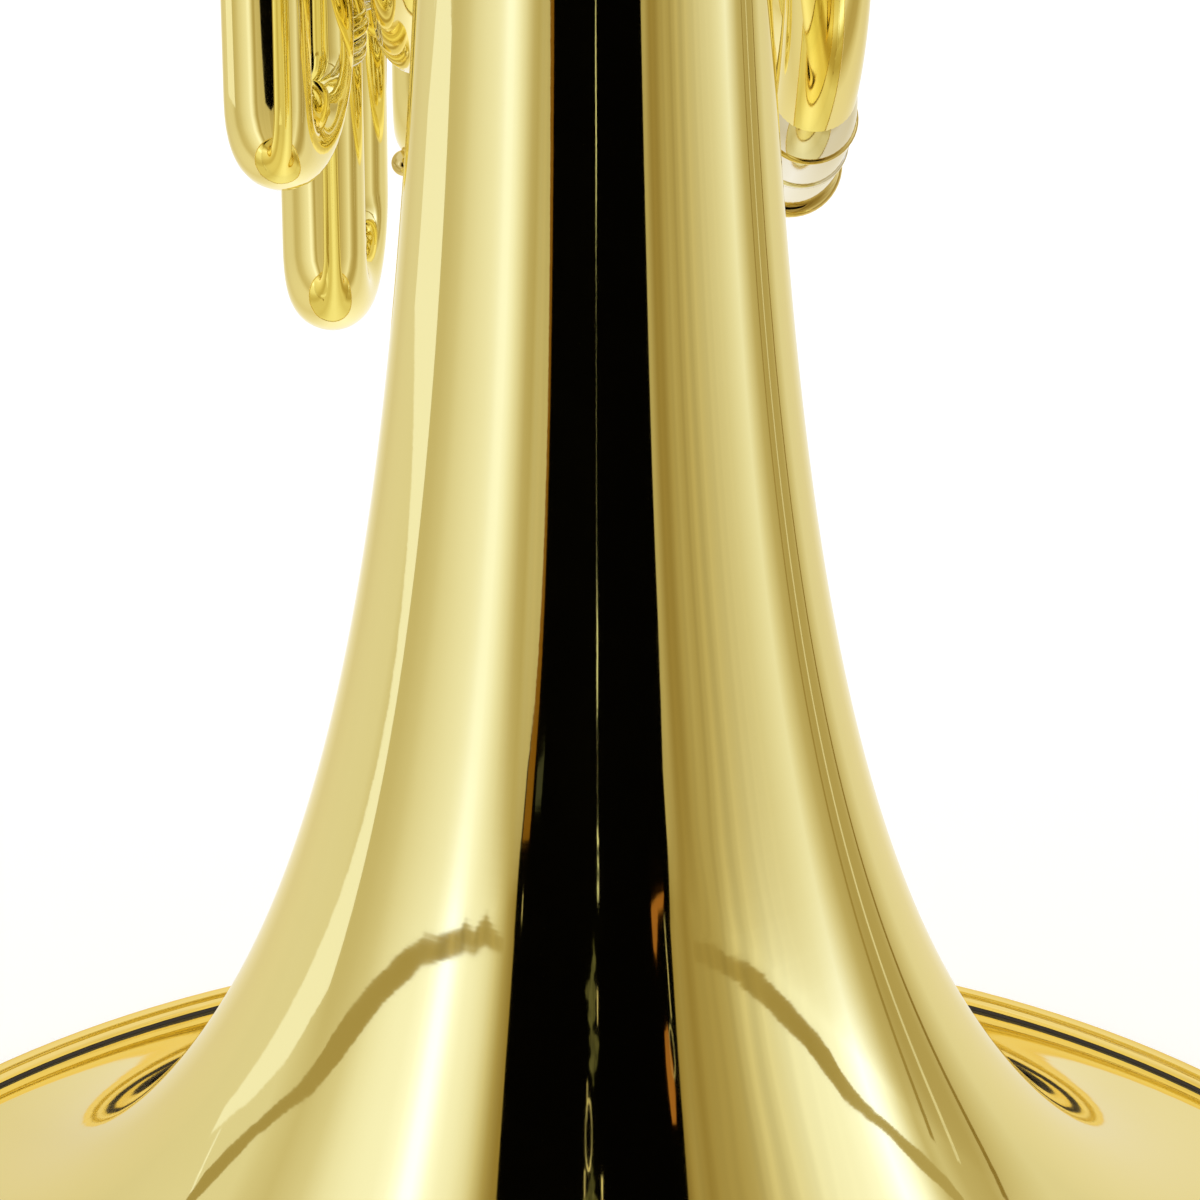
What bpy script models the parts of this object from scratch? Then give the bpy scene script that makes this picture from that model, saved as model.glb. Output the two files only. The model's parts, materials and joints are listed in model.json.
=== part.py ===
"""Double french horn, standing on the rim of its bell.

The bell's axis is vertical and its rim lies on the floor. The body is a ring of tubing in the
plane of Y and Z behind the bell. The four rotary valves stand in a row inside the ring, with
their axes along X: the player's side is -X, with the stop arms and strings, and the caps face +X.
Every tube is a ring of points carried along a path. All lengths are in metres.
"""
import math

import bpy
import bmesh
import numpy as np
from mathutils import Vector

# Bell: the radius falls from the rim to the throat by one flare law
RIM_R = 0.1555
THROAT_R = 0.0175
FLARE_LENGTH = 0.2035
FLARE_POWER = 3.63
BELL_WALL = 0.0008
BEAD_R = 0.0022
BEAD_FLAT = 0.0004
BELL_LENGTH = 0.300
BELL_SEAM = 0.110
BELL_SIDES = 36
FERRULE_HALF = 0.012
FERRULE_WALL = 0.0009
FERRULE_RIM = 0.0016
FERRULE_LIP = 0.003

# Ring of the body: the bell's axis is tangent to it
BODY_R = 0.150
BODY_Z = BELL_LENGTH + 0.020
GAP = 0.0003
LEAD = 0.0015

# Tubing
TUBE_R = 0.0066
LEG_R = 0.0060
LEG_CLEARANCE = 0.0002
SLEEVE_R = 0.0071
COLLAR = 0.0006
COLLAR_LENGTH = 0.004
STUB_R = 0.0070
SLEEVE_DEPTH = 0.026
STAY_ABOVE = 0.005
STAY_R = 0.0020
TUBE_SIDES = 8
BRANCH_END_R = 0.0070
BRANCH_WALL = 0.0006
BRANCH_TAPER = 0.85
TAIL_TURN = 0.058
TAIL_REACH = 0.040

# Mouthpipe and mouthpiece
PIPE_RING_R = BODY_R - 0.0017
PIPE_X = 0.0245
PIPE_OUT_X = 0.0333
PIPE_OUT_Y = BODY_R - PIPE_RING_R
PIPE_TURNS_OUT = -90.0
PIPE_IS_OUT = -150.0
PIPE_FERRULE = (-122.5, -134.5)
PIPE_SMALL_R = 0.0050
PIPE_LARGE_R = 0.0062
PIPE_STRAIGHT = 0.240
PIPE_TANGENT = 95.0
RECEIVER_LENGTH = 0.045
RECEIVER_R = 0.0068
SHANK_R = 0.0036
CUP_R = 0.0128
MOUTHPIECE_LENGTH = 0.064
SHANK_DEPTH = 0.018

# Valves
VALVE_FIRST_Y = 0.066
VALVE_STEP = 0.044
VALVE_Z = BODY_Z + 0.002
CASING_R = 0.017
CASING_HALF = 0.030
CASING_BORE_R = 0.0143
BACK_PLATE = 0.004
ROTOR_R = 0.0140
ROTOR_HALF = 0.0254
SHAFT_R = 0.0028
SHAFT_BORE_R = 0.0032
DECK_X = 0.016
PORT_Y = 0.0115
STUB_REACH = 0.020
PASSAGE_R = 0.0049
CAP_R = 0.0178
CAP_HEIGHT = 0.0045
VALVE_SIDES = 20

# Stop arms, strings and levers
HUB_R = 0.0042
HUB_LENGTH = 0.0155
HUB_RIM = 0.0006
HUB_START = 0.0010
ARM_THICK = 0.0025
ARM_REACH = 0.0135
STRING_R = 0.0004
ROD_Z = 0.032
ROD_R = 0.0018
BARREL_BORE_R = 0.0021
BARREL_R = 0.0034
LEVER_ARM_R = 0.0020
BAR_X = 0.042
BAR_HALF = 0.0013
BAR_GAP = 0.0016
BAR_REACH = 0.011
PADDLE_STEP = 0.022
PADDLE_A = 0.0092
PADDLE_B = 0.0190
PADDLE_THICK = 0.0022
PADDLE_RISE = 0.062
PADDLE_OUT = 0.030
PADDLE_KNEE = 0.022
THUMB_RISE = 0.062
THUMB_OUT = 0.030

# Slides of the valves: name, place in the row, deck, X of the near and far leg, and how far below
# the valves' axes the sleeves end and the crook's lowest point lies
SLIDES = [
    ("third_f", 1, -1, -0.0426, -0.0398, 0.117, 0.1727),
    ("second_f", 2, -1, -0.0412, -0.0412, 0.100, 0.1630),
    ("first_f", 3, -1, -0.0280, -0.0280, 0.117, 0.1845),
    ("third_bb", 1, 1, DECK_X, DECK_X, 0.067, 0.1070),
    ("second_bb", 2, 1, DECK_X, DECK_X, 0.060, 0.0920),
    ("first_bb", 3, 1, DECK_X, DECK_X, 0.064, 0.1060),
]
F_TUNING_NEAR_X = -0.0484
F_TUNING_FAR_X = -0.0430
F_TUNING_END = VALVE_Z - 0.082
F_TUNING_BOTTOM = VALVE_Z - 0.1275
SPREAD_DROP = 0.040

# Main tuning slide
TUNING_STEP = 0.026
TUNING_START = BODY_Z + 0.032
TUNING_FAR_START = BODY_Z + 0.048
TUNING_END = BODY_Z + 0.082
TUNING_TOP = BODY_Z + 0.114

# Branches inside the ring
F_BRANCH_R = BODY_R - 0.0233
F_BRANCH_X = -0.0135
F_BRANCH_OUT_X = -0.0268
F_TURNS_OUT = -74.0
F_IS_OUT = -122.0
BOW_OUT = 0.0285
BOW_DROP = 0.018
BB_BRANCH_R = BODY_R - 0.0174
BB_BRANCH_X = 0.031

# Braces and finger hook
TOP_BRACE = 70.0
LOW_BRACE = -62.0
HOOK_ANGLE = 40.0
HOOK_R = 0.0026
HOOK_FOOT = 0.006
HOOK_BEND = 0.0125

# A faceted bore clears a round of its stated radius at the middle of each facet
FACET = 1.0 / math.cos(math.pi / TUBE_SIDES)
X, Y, Z = np.eye(3)
NAMES = ["change", "third", "second", "first"]


def vec(x, y, z):
    """A point or a direction."""
    return np.array([x, y, z], float)


def valve_y(place):
    """Y of a valve's axis, counted from the change valve."""
    return VALVE_FIRST_Y + place * VALVE_STEP


def bell_radius(z):
    """The flare law: throat radius plus a power of the distance from the rim."""
    return THROAT_R + (RIM_R - THROAT_R) * (FLARE_LENGTH / (z + FLARE_LENGTH)) ** FLARE_POWER


# Finishes


def finish(name, colour, roughness, metallic):
    """One Principled material."""
    material = bpy.data.materials.new(name)
    material.use_nodes = True
    shader = material.node_tree.nodes["Principled BSDF"]
    shader.inputs["Base Color"].default_value = (*colour, 1.0)
    shader.inputs["Roughness"].default_value = roughness
    shader.inputs["Metallic"].default_value = metallic
    material.diffuse_color = (*colour, 1.0)
    return material


# Paths


def unit(v):
    """The same direction at length one."""
    return v / np.linalg.norm(v)


def line(start, end, count=2):
    """Points along a straight run."""
    t = np.linspace(0.0, 1.0, count)[:, None]
    return start + (end - start) * t


def ring_run(radius, start, end, x_start, x_end, count):
    """Points round the body's ring, angles in degrees from +Y, with an even drift in X."""
    t = np.linspace(0.0, 1.0, count)
    a = np.radians(start + (end - start) * t)
    ease = t * t * (3.0 - 2.0 * t)
    return np.stack([x_start + (x_end - x_start) * ease,
                     BODY_R + radius * np.cos(a), BODY_Z + radius * np.sin(a)], axis=1)


def ring_heading(angle):
    """Direction of travel on the ring where the angle falls."""
    a = math.radians(angle)
    return vec(0.0, math.sin(a), -math.cos(a))


def bridge(start, leaving, end, arriving, reach, count):
    """A cubic curve between two points, with a short straight lead at both ends."""
    t = np.linspace(0.0, 1.0, count)[:, None]
    a, b = unit(leaving), unit(arriving)
    first, last = start + a * LEAD, end - b * LEAD
    one = 2 * t ** 3 - 3 * t ** 2 + 1
    curve = (one * first + (t ** 3 - 2 * t ** 2 + t) * 3 * reach * a + (1 - one) * last
             + (t ** 3 - t ** 2) * 3 * reach * b)
    return np.concatenate([[start], curve, [end]])


def join(*runs):
    """One path from several runs, without the doubled points."""
    points = np.concatenate(runs)
    keep = [0]
    for i in range(1, len(points)):
        if np.linalg.norm(points[i] - points[keep[-1]]) > 0.0002:
            keep.append(i)
    return points[keep]


def lengths(path):
    """Distance along the path at each point."""
    steps = np.linalg.norm(np.diff(path, axis=0), axis=1)
    return np.concatenate([[0.0], np.cumsum(steps)])


# Skins


def frames(path):
    """Two directions square to the path at each point, turned as little as possible."""
    way = np.gradient(path, axis=0)
    way[0], way[-1] = path[1] - path[0], path[-1] - path[-2]
    way /= np.linalg.norm(way, axis=1)[:, None]
    side = np.cross(way[0], X if abs(way[0][0]) < 0.9 else Y)
    sides, ups = [], []
    for w in way:
        side = unit(side - w * np.dot(side, w))
        sides.append(side)
        ups.append(np.cross(w, side))
    return np.array(sides), np.array(ups)


def skin(path, stations, sides, closed=False):
    """Rings of points at the stations (index into the path, radius), joined in their order.

    An open skin gets a flat face at both ends; a closed one runs back to its first ring.
    """
    across, up = frames(path)
    angles = np.linspace(0.0, 2 * math.pi, sides, endpoint=False) + math.pi / sides
    points, faces = [], []
    for index, radius in stations:
        points.append(path[index] + radius * (np.cos(angles)[:, None] * across[index]
                                              + np.sin(angles)[:, None] * up[index]))
    rings = len(stations)
    for i in range(rings if closed else rings - 1):
        a, b = i * sides, ((i + 1) % rings) * sides
        for k in range(sides):
            n = (k + 1) % sides
            faces.append((a + k, a + n, b + n, b + k))
    if not closed:
        faces.append(tuple(range(sides)))
        faces.append(tuple((rings - 1) * sides + k for k in reversed(range(sides))))
    return np.concatenate(points), faces


def rod(path, radii, sides=TUBE_SIDES):
    """A solid tube: radii is one number or one for each point."""
    radii = np.broadcast_to(radii, len(path))
    return skin(path, list(enumerate(radii)), sides)


def pipe(path, radii, wall, sides=TUBE_SIDES):
    """An open tube of the given wall."""
    radii = np.broadcast_to(radii, len(path))
    outer = list(enumerate(radii))
    inner = [(i, r - wall) for i, r in reversed(outer)]
    return skin(path, outer + inner, sides, closed=True)


def turned(profile, origin, axis, sides, closed=False):
    """A turned piece: profile is (height along the axis, radius), kept in its order."""
    heights = sorted({h for h, _ in profile})
    path = np.array([origin + axis * h for h in heights])
    return skin(path, [(heights.index(h), r) for h, r in profile], sides, closed)


def block(centre, half):
    """A plain rectangular bar."""
    s = np.array([[-1, -1, -1], [1, -1, -1], [1, 1, -1], [-1, 1, -1],
                  [-1, -1, 1], [1, -1, 1], [1, 1, 1], [-1, 1, 1]])
    faces = [(3, 2, 1, 0), (4, 5, 6, 7), (0, 1, 5, 4), (1, 2, 6, 5), (2, 3, 7, 6), (3, 0, 4, 7)]
    return centre + s * half, faces


def oval(centre, normal, wide, long, layers, sides=12):
    """A stack of ellipses along the normal: layers are (height, share of the full outline)."""
    angles = np.linspace(0.0, 2 * math.pi, sides, endpoint=False)
    points, faces = [], []
    for height, share in layers:
        points.append(centre + normal * height + share * (np.cos(angles)[:, None] * wide
                                                          + np.sin(angles)[:, None] * long))
    for i in range(len(layers) - 1):
        for k in range(sides):
            n = (k + 1) % sides
            faces.append((i * sides + k, i * sides + n, (i + 1) * sides + n, (i + 1) * sides + k))
    faces.append(tuple(range(sides)))
    faces.append(tuple((len(layers) - 1) * sides + k for k in reversed(range(sides))))
    return np.concatenate(points), faces


def together(*skins):
    """Several skins as one mesh, for a tool that joins or cuts them all."""
    points, faces, start = [], [], 0
    for p, f in skins:
        points.append(p)
        faces += [tuple(i + start for i in face) for face in f]
        start += len(p)
    return np.concatenate(points), faces


# Objects


def add(name, made, material, pivot=(0.0, 0.0, 0.0)):
    """One object of the horn, with its origin at its pivot."""
    points, faces = made
    mesh = bpy.data.meshes.new(name)
    mesh.from_pydata((points - np.array(pivot)).tolist(), [], faces)
    shape = bmesh.new()
    shape.from_mesh(mesh)
    bmesh.ops.recalc_face_normals(shape, faces=shape.faces)
    shape.to_mesh(mesh)
    shape.free()
    mesh.shade_smooth()
    mesh.set_sharp_from_angle(angle=math.radians(40))
    mesh.materials.append(material)
    piece = bpy.data.objects.new(name, mesh)
    piece.location = pivot
    piece.parent = ROOT
    bpy.context.collection.objects.link(piece)
    return piece


def shape_with(piece, made, operation, label):
    """Join a hidden tool to a piece, or cut the piece by it."""
    tool = add(piece.name + "_" + label, made, piece.data.materials[0])
    tool.hide_render = True
    tool.display_type = "WIRE"
    modifier = piece.modifiers.new(label, "BOOLEAN")
    modifier.object = tool
    modifier.operation = operation
    modifier.solver = "EXACT"


# Bell


def bell_walls(heights):
    """The bell's outside at the heights, and its inside in the opposite order."""
    slope = (bell_radius(heights + 0.001) - bell_radius(heights)) / 0.001
    inner = bell_radius(heights) - BELL_WALL * np.hypot(1.0, slope)
    return list(zip(heights, bell_radius(heights))), list(zip(heights, inner))[::-1]


def flare_profile():
    """Outside from the seam down, round the wired edge, and back up the inside."""
    heights = BELL_SEAM * np.linspace(1.0, 0.0, 11) ** 1.4
    bead_z = BEAD_R - BEAD_FLAT
    outside, inside = bell_walls(heights[heights > 2 * BEAD_R])
    bead_x = RIM_R - BEAD_R
    flat = math.degrees(math.asin(bead_z / BEAD_R))
    edge = [(bead_z + BEAD_R * math.sin(math.radians(a)), bead_x + BEAD_R * math.cos(math.radians(a)))
            for a in (120.0, 75.0, 30.0, -15.0, -flat)]
    inner_flat = (0.0, bead_x - BEAD_R * math.cos(math.radians(flat)))
    edge.append(inner_flat)
    return outside + edge + inside


def make_bell():
    """The spun flare with its wired rim, the throat that is brazed to it, and the ferrule."""
    add("bell", turned(flare_profile(), vec(0, 0, 0), Z, BELL_SIDES, closed=True), BRASS)
    outside, inside = bell_walls(np.linspace(BELL_LENGTH, BELL_SEAM + GAP, 9))
    add("bell_throat", turned(outside + inside, vec(0, 0, 0), Z, BELL_SIDES, closed=True), BRASS)
    low, high = BELL_LENGTH - FERRULE_HALF, BELL_LENGTH + FERRULE_HALF
    bore = (bell_radius(low) + GAP) / math.cos(math.pi / VALVE_SIDES)
    wall, rim = bore + FERRULE_WALL, bore + FERRULE_RIM
    ferrule = [(low, bore), (low, rim), (low + FERRULE_LIP, rim), (low + 1.2 * FERRULE_LIP, wall),
               (high - 1.2 * FERRULE_LIP, wall), (high - FERRULE_LIP, rim), (high, rim), (high, bore)]
    add("bell_ferrule", turned(ferrule, vec(0, 0, 0), Z, VALVE_SIDES, closed=True), NICKEL)


def bell_branch_path():
    """From the bell over the top, down the far side and along the bottom to the change valve."""
    port = vec(DECK_X, valve_y(0) + PORT_Y, VALVE_Z - STUB_REACH - GAP)
    turn = vec(DECK_X, port[1], BODY_Z - BODY_R + TAIL_TURN)
    bottom = vec(0, BODY_R, BODY_Z - BODY_R)
    return join(line(vec(0, 0, BELL_LENGTH + GAP), vec(0, 0, BODY_Z)),
                ring_run(BODY_R, 180.0, -90.0, 0.0, 0.0, 21),
                bridge(bottom, -Y, turn, Z, TAIL_REACH, 7), line(turn, port))


def make_bell_branch():
    """The tapered tail of the bell."""
    path = bell_branch_path()
    run = lengths(path)
    share = run / run[-1]
    start = bell_radius(BELL_LENGTH)
    radii = BRANCH_END_R + (start - BRANCH_END_R) * (1.0 - share) ** BRANCH_TAPER
    add("bell_branch", pipe(path, radii, BRANCH_WALL, 12), BRASS)


def branch_radius(angle):
    """The tail's radius where it passes an angle of the ring."""
    total = lengths(bell_branch_path())[-1]
    run = BODY_Z - BELL_LENGTH + BODY_R * math.radians(180.0 - angle)
    start = bell_radius(BELL_LENGTH)
    return BRANCH_END_R + (start - BRANCH_END_R) * (1.0 - run / total) ** BRANCH_TAPER


# Mouthpipe


def pipe_start():
    """Where the mouthpipe leaves its receiver, and the direction out of the horn there."""
    a = math.radians(PIPE_TANGENT)
    foot = vec(PIPE_X, BODY_R + PIPE_RING_R * math.cos(a), BODY_Z + PIPE_RING_R * math.sin(a))
    out = vec(0, -math.sin(a), math.cos(a))
    return foot, out


def pipe_turn(start, end, count):
    """Points of the mouthpipe's ring between two angles, where it drifts away from the bell."""
    angle = np.linspace(start, end, count)
    t = (angle - PIPE_TURNS_OUT) / (PIPE_IS_OUT - PIPE_TURNS_OUT)
    a = np.radians(angle)
    return np.stack([PIPE_X + (PIPE_OUT_X - PIPE_X) * t * t * (3.0 - 2.0 * t),
                     BODY_R + PIPE_RING_R * np.cos(a), BODY_Z + PIPE_RING_R * np.sin(a)], axis=1)


def mouthpipe_path():
    """Straight from the receiver, once round the ring and up beside the bell."""
    foot, out = pipe_start()
    up = vec(PIPE_OUT_X, PIPE_OUT_Y, TUNING_START)
    return join(line(foot + out * PIPE_STRAIGHT, foot, 3),
                ring_run(PIPE_RING_R, PIPE_TANGENT, PIPE_TURNS_OUT, PIPE_X, PIPE_X, 16),
                pipe_turn(PIPE_TURNS_OUT, PIPE_FERRULE[0], 5), pipe_turn(*PIPE_FERRULE, 3),
                pipe_turn(PIPE_FERRULE[1], PIPE_IS_OUT, 3),
                ring_run(PIPE_RING_R, PIPE_IS_OUT, -180.0, PIPE_OUT_X, PIPE_OUT_X, 4), line(up - Z * 0.02, up))


def pipe_radius(run):
    """The mouthpipe's radius after a length of run."""
    return PIPE_SMALL_R + (PIPE_LARGE_R - PIPE_SMALL_R) * np.minimum(1.0, run / 0.6)


def pipe_radius_at(angle):
    """The mouthpipe's radius where it passes an angle of the ring."""
    return pipe_radius(PIPE_STRAIGHT + PIPE_RING_R * math.radians(PIPE_TANGENT - angle))


def make_mouthpipe():
    """The tapered mouthpipe and the nickel ferrule on its low bend."""
    path = mouthpipe_path()
    run = lengths(path)
    add("mouthpipe", pipe(path, pipe_radius(run), BRANCH_WALL), BRASS)
    angles = np.degrees(np.arctan2(path[:, 2] - BODY_Z, path[:, 1] - BODY_R))
    on = [i for i in range(len(path)) if run[i] > 0.5 and PIPE_FERRULE[1] - 1.0 < angles[i] < PIPE_FERRULE[0] + 1.0]
    bore = PIPE_LARGE_R + GAP
    outer = [(on[0], bore + 0.0013)] + [(i, bore + 0.0009) for i in on[1:-1]] + [(on[-1], bore + 0.0013)]
    inner = [(i, bore) for i in reversed(on)]
    add("mouthpipe_ferrule", skin(path, outer + inner, TUBE_SIDES, closed=True), NICKEL)


def make_mouthpiece():
    """The receiver on the mouthpipe's end, and the mouthpiece that plugs into it."""
    foot, out = pipe_start()
    end = foot + out * (PIPE_STRAIGHT + GAP)
    collar = RECEIVER_R + 0.0012
    long = RECEIVER_LENGTH
    receiver = [(0.0, PIPE_SMALL_R - BRANCH_WALL), (0.0, RECEIVER_R), (0.003, collar), (0.006, RECEIVER_R),
                (long - 0.006, RECEIVER_R), (long - 0.004, collar), (long, collar),
                (long, SHANK_R + 0.0008), (long - SHANK_DEPTH - 0.002, SHANK_R + 0.0004),
                (long - SHANK_DEPTH - 0.002, PIPE_SMALL_R - BRANCH_WALL - 0.0012)]
    add("mouthpipe_receiver", turned(receiver, end, out, 12, closed=True), NICKEL)
    seat = end + out * (long - SHANK_DEPTH)
    m = MOUTHPIECE_LENGTH
    shape = [(0.0, SHANK_R - 0.0008), (0.0, SHANK_R - 0.0001), (SHANK_DEPTH, SHANK_R + 0.0003),
             (SHANK_DEPTH + 0.012, 0.0044), (m - 0.030, 0.0052), (m - 0.016, 0.0074),
             (m - 0.006, 0.0108), (m - 0.003, CUP_R - 0.0006), (m - 0.001, CUP_R),
             (m, CUP_R - 0.0008), (m, CUP_R - 0.0028), (m - 0.003, CUP_R - 0.0038),
             (m - 0.012, 0.0068), (m - 0.026, 0.0026), (m - 0.034, 0.0022)]
    add("mouthpiece", turned(shape, seat, out, 14, closed=True), SILVER, tuple(seat))


# Slides


def crook(near, far, way, top, turn, count=7):
    """A slide's centre line: down one leg, round a half circle and back up the other."""
    middle, half = (near + far) / 2, (near - far) / 2
    a = np.linspace(0.0, math.pi, count)[:, None]
    bend = middle + way * turn + np.cos(a) * half + np.sin(a) * way * np.linalg.norm(half)
    return join(line(near + way * top, near + way * turn), bend, line(far + way * turn, far + way * top))


def slide_stations(path):
    """Thin legs inside the sleeves, with a collar where each leg leaves its sleeve."""
    last = len(path) - 1
    return ([(0, LEG_R), (1, LEG_R), (1, SLEEVE_R), (2, SLEEVE_R), (2, TUBE_R)]
            + [(i, TUBE_R) for i in range(3, last - 2)]
            + [(last - 2, TUBE_R), (last - 2, SLEEVE_R), (last - 1, SLEEVE_R), (last - 1, LEG_R), (last, LEG_R)])


def make_slide(name, near, far, way, end, turn):
    """One tuning slide: near and far are its legs' places where the distance along way is nought."""
    inside = end - SLEEVE_DEPTH + GAP
    seam, ring = end + GAP, end + GAP + COLLAR_LENGTH
    path = crook(near, far, way, inside, turn)
    path = join(line(near + way * inside, near + way * seam), line(near + way * ring, near + way * turn),
                path[1:-1], line(far + way * turn, far + way * ring), line(far + way * seam, far + way * inside))
    add(name, skin(path, slide_stations(path), TUBE_SIDES), BRASS, tuple((near + far) / 2 + way * end))


def sleeve(path, depth):
    """A sleeve: closed where it meets its branch, bored for the slide at its other end."""
    run = lengths(path)
    points = [path[i] for i in range(len(path)) if run[i] < run[-1] - depth - 2 * LEAD]
    way = unit(path[-1] - path[-2])
    tail = [path[-1] - way * h for h in (depth + LEAD, depth, COLLAR_LENGTH, 0.0)]
    path = np.array(points + tail)
    n = len(path) - 1
    bore = (LEG_R + LEG_CLEARANCE) * FACET
    stations = ([(i, TUBE_R) for i in range(n - 2)] + [(n - 2, TUBE_R), (n - 2, SLEEVE_R), (n - 1, SLEEVE_R),
                (n - 1, SLEEVE_R + COLLAR), (n, SLEEVE_R + COLLAR), (n, bore), (n - 2, bore)])
    return skin(path, stations, TUBE_SIDES)


def make_sleeves(name, near, far, way):
    """Two sleeves, given by their paths, and the stay that ties them together."""
    piece = add(name, together(sleeve(near, SLEEVE_DEPTH), sleeve(far, SLEEVE_DEPTH)), BRASS)
    back = way * (SLEEVE_DEPTH + STAY_ABOVE)
    a, b = near[-1] - back, far[-1] - back
    inset = unit(b - a) * (TUBE_R - STAY_R)
    shape_with(piece, rod(np.array([a + inset, b - inset]), STAY_R, 6), "UNION", "stay")


def drop(port_x, leg_x, y, end):
    """From a valve's lower port down to a sleeve's end, spreading out in X on the way."""
    top = vec(port_x, y, VALVE_Z - STUB_REACH - GAP)
    if abs(port_x - leg_x) < 0.0005:
        return line(top, vec(leg_x, y, end))
    low = vec(leg_x, y, top[2] - SPREAD_DROP)
    return join(bridge(top, -Z, low, -Z, SPREAD_DROP * 0.55, 7), line(low, vec(leg_x, y, end)))


def make_valve_slides():
    """The six slides of the three finger valves."""
    for name, place, deck, near_x, far_x, end, bottom in SLIDES:
        near_y, far_y = valve_y(place) - PORT_Y, valve_y(place) + PORT_Y
        end, bottom = VALVE_Z - end, VALVE_Z - bottom
        make_sleeves(name + "_sleeves", drop(deck * DECK_X, near_x, near_y, end),
                     drop(deck * DECK_X, far_x, far_y, end), -Z)
        near, far = vec(near_x, near_y, 0), vec(far_x, far_y, 0)
        turn = bottom + TUBE_R + np.linalg.norm(near - far) / 2
        make_slide(name + "_slide", near, far, -Z, -end, -turn)


def make_f_tuning():
    """The F tuning slide beside the change valve: its near leg comes from the F branch."""
    near_y, far_y = valve_y(0) - PORT_Y, valve_y(0) + PORT_Y
    top = vec(F_TUNING_NEAR_X, near_y, VALVE_Z - 0.010)
    near_path = line(top, vec(F_TUNING_NEAR_X, near_y, F_TUNING_END))
    make_sleeves("f_tuning_sleeves", near_path, drop(-DECK_X, F_TUNING_FAR_X, far_y, F_TUNING_END), -Z)
    near, far = vec(F_TUNING_NEAR_X, near_y, 0), vec(F_TUNING_FAR_X, far_y, 0)
    turn = F_TUNING_BOTTOM + TUBE_R + np.linalg.norm(near - far) / 2
    make_slide("f_tuning_slide", near, far, -Z, -F_TUNING_END, -turn)


def make_main_tuning():
    """The main tuning slide above the bell's side of the ring, pulled upwards."""
    near, far = vec(PIPE_OUT_X, PIPE_OUT_Y, 0), vec(PIPE_OUT_X, PIPE_OUT_Y + TUNING_STEP, 0)
    make_sleeves("main_tuning_sleeves", line(near + Z * (TUNING_START + GAP), near + Z * TUNING_END),
                 line(far + Z * TUNING_FAR_START, far + Z * TUNING_END), Z)
    make_slide("main_tuning_slide", near, far, Z, TUNING_END, TUNING_TOP - TUBE_R - TUNING_STEP / 2)


# Branches


def port(place, deck, side):
    """A valve's upper port: side is 1 towards +Y and -1 towards the bell."""
    reach = (STUB_REACH + 0.0013) * math.sqrt(0.5)
    return vec(deck * DECK_X, valve_y(place) + side * reach, VALVE_Z + reach), vec(0, side, 1)


def make_branches():
    """The tubes that lead from the ends of the valve row round the ring and back."""
    start, out = port(3, -1, 1)
    low = 20.0
    ring = join(ring_run(F_BRANCH_R, -low, F_TURNS_OUT, F_BRANCH_X, F_BRANCH_X, 5),
                ring_run(F_BRANCH_R, F_TURNS_OUT, F_IS_OUT, F_BRANCH_X, F_BRANCH_OUT_X, 7),
                ring_run(F_BRANCH_R, F_IS_OUT, -180.0, F_BRANCH_OUT_X, F_BRANCH_OUT_X, 6))
    near_y = valve_y(0) - PORT_Y
    down = vec(F_TUNING_NEAR_X, near_y, VALVE_Z - 0.010 + GAP)
    up = ring[-1] + Z * 0.012
    path = join(bridge(start, out, ring[0], ring_heading(-low), 0.030, 7), ring, [up],
                bridge(up, Z, down + Z * 0.004, -Z, 0.017, 9), [down])
    add("f_branch", pipe(path, TUBE_R, BRANCH_WALL), BRASS)
    start, out = port(3, 1, 1)
    leave = -138.0
    ring = ring_run(BB_BRANCH_R, -low, leave, BB_BRANCH_X, BB_BRANCH_X, 11)
    end = vec(DECK_X, near_y, VALVE_Z - STUB_REACH - GAP)
    path = join(bridge(start, out, ring[0], ring_heading(-low), 0.030, 7), ring,
                bridge(ring[-1], ring_heading(leave), end - Z * 0.006, Z, 0.020, 7), [end])
    add("bb_branch", pipe(path, TUBE_R, BRANCH_WALL), BRASS)
    start, out = port(0, 1, -1)
    end = vec(PIPE_OUT_X, PIPE_OUT_Y + TUNING_STEP, TUNING_FAR_START - GAP)
    add("tuning_branch", rod(bridge(start, out, end, Z, 0.012, 10), TUBE_R), BRASS)
    start, out = port(0, -1, -1)
    end = vec(-DECK_X, near_y, VALVE_Z - STUB_REACH - GAP)
    side = vec(-DECK_X, valve_y(0) - BOW_OUT, VALVE_Z)
    bow = join(bridge(start, out, side, -Z, 0.010, 6), bridge(side - Z * BOW_DROP, -Z, end, Z, 0.011, 7))
    add("change_valve_bow", rod(bow, TUBE_R), BRASS)


# Valves


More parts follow.
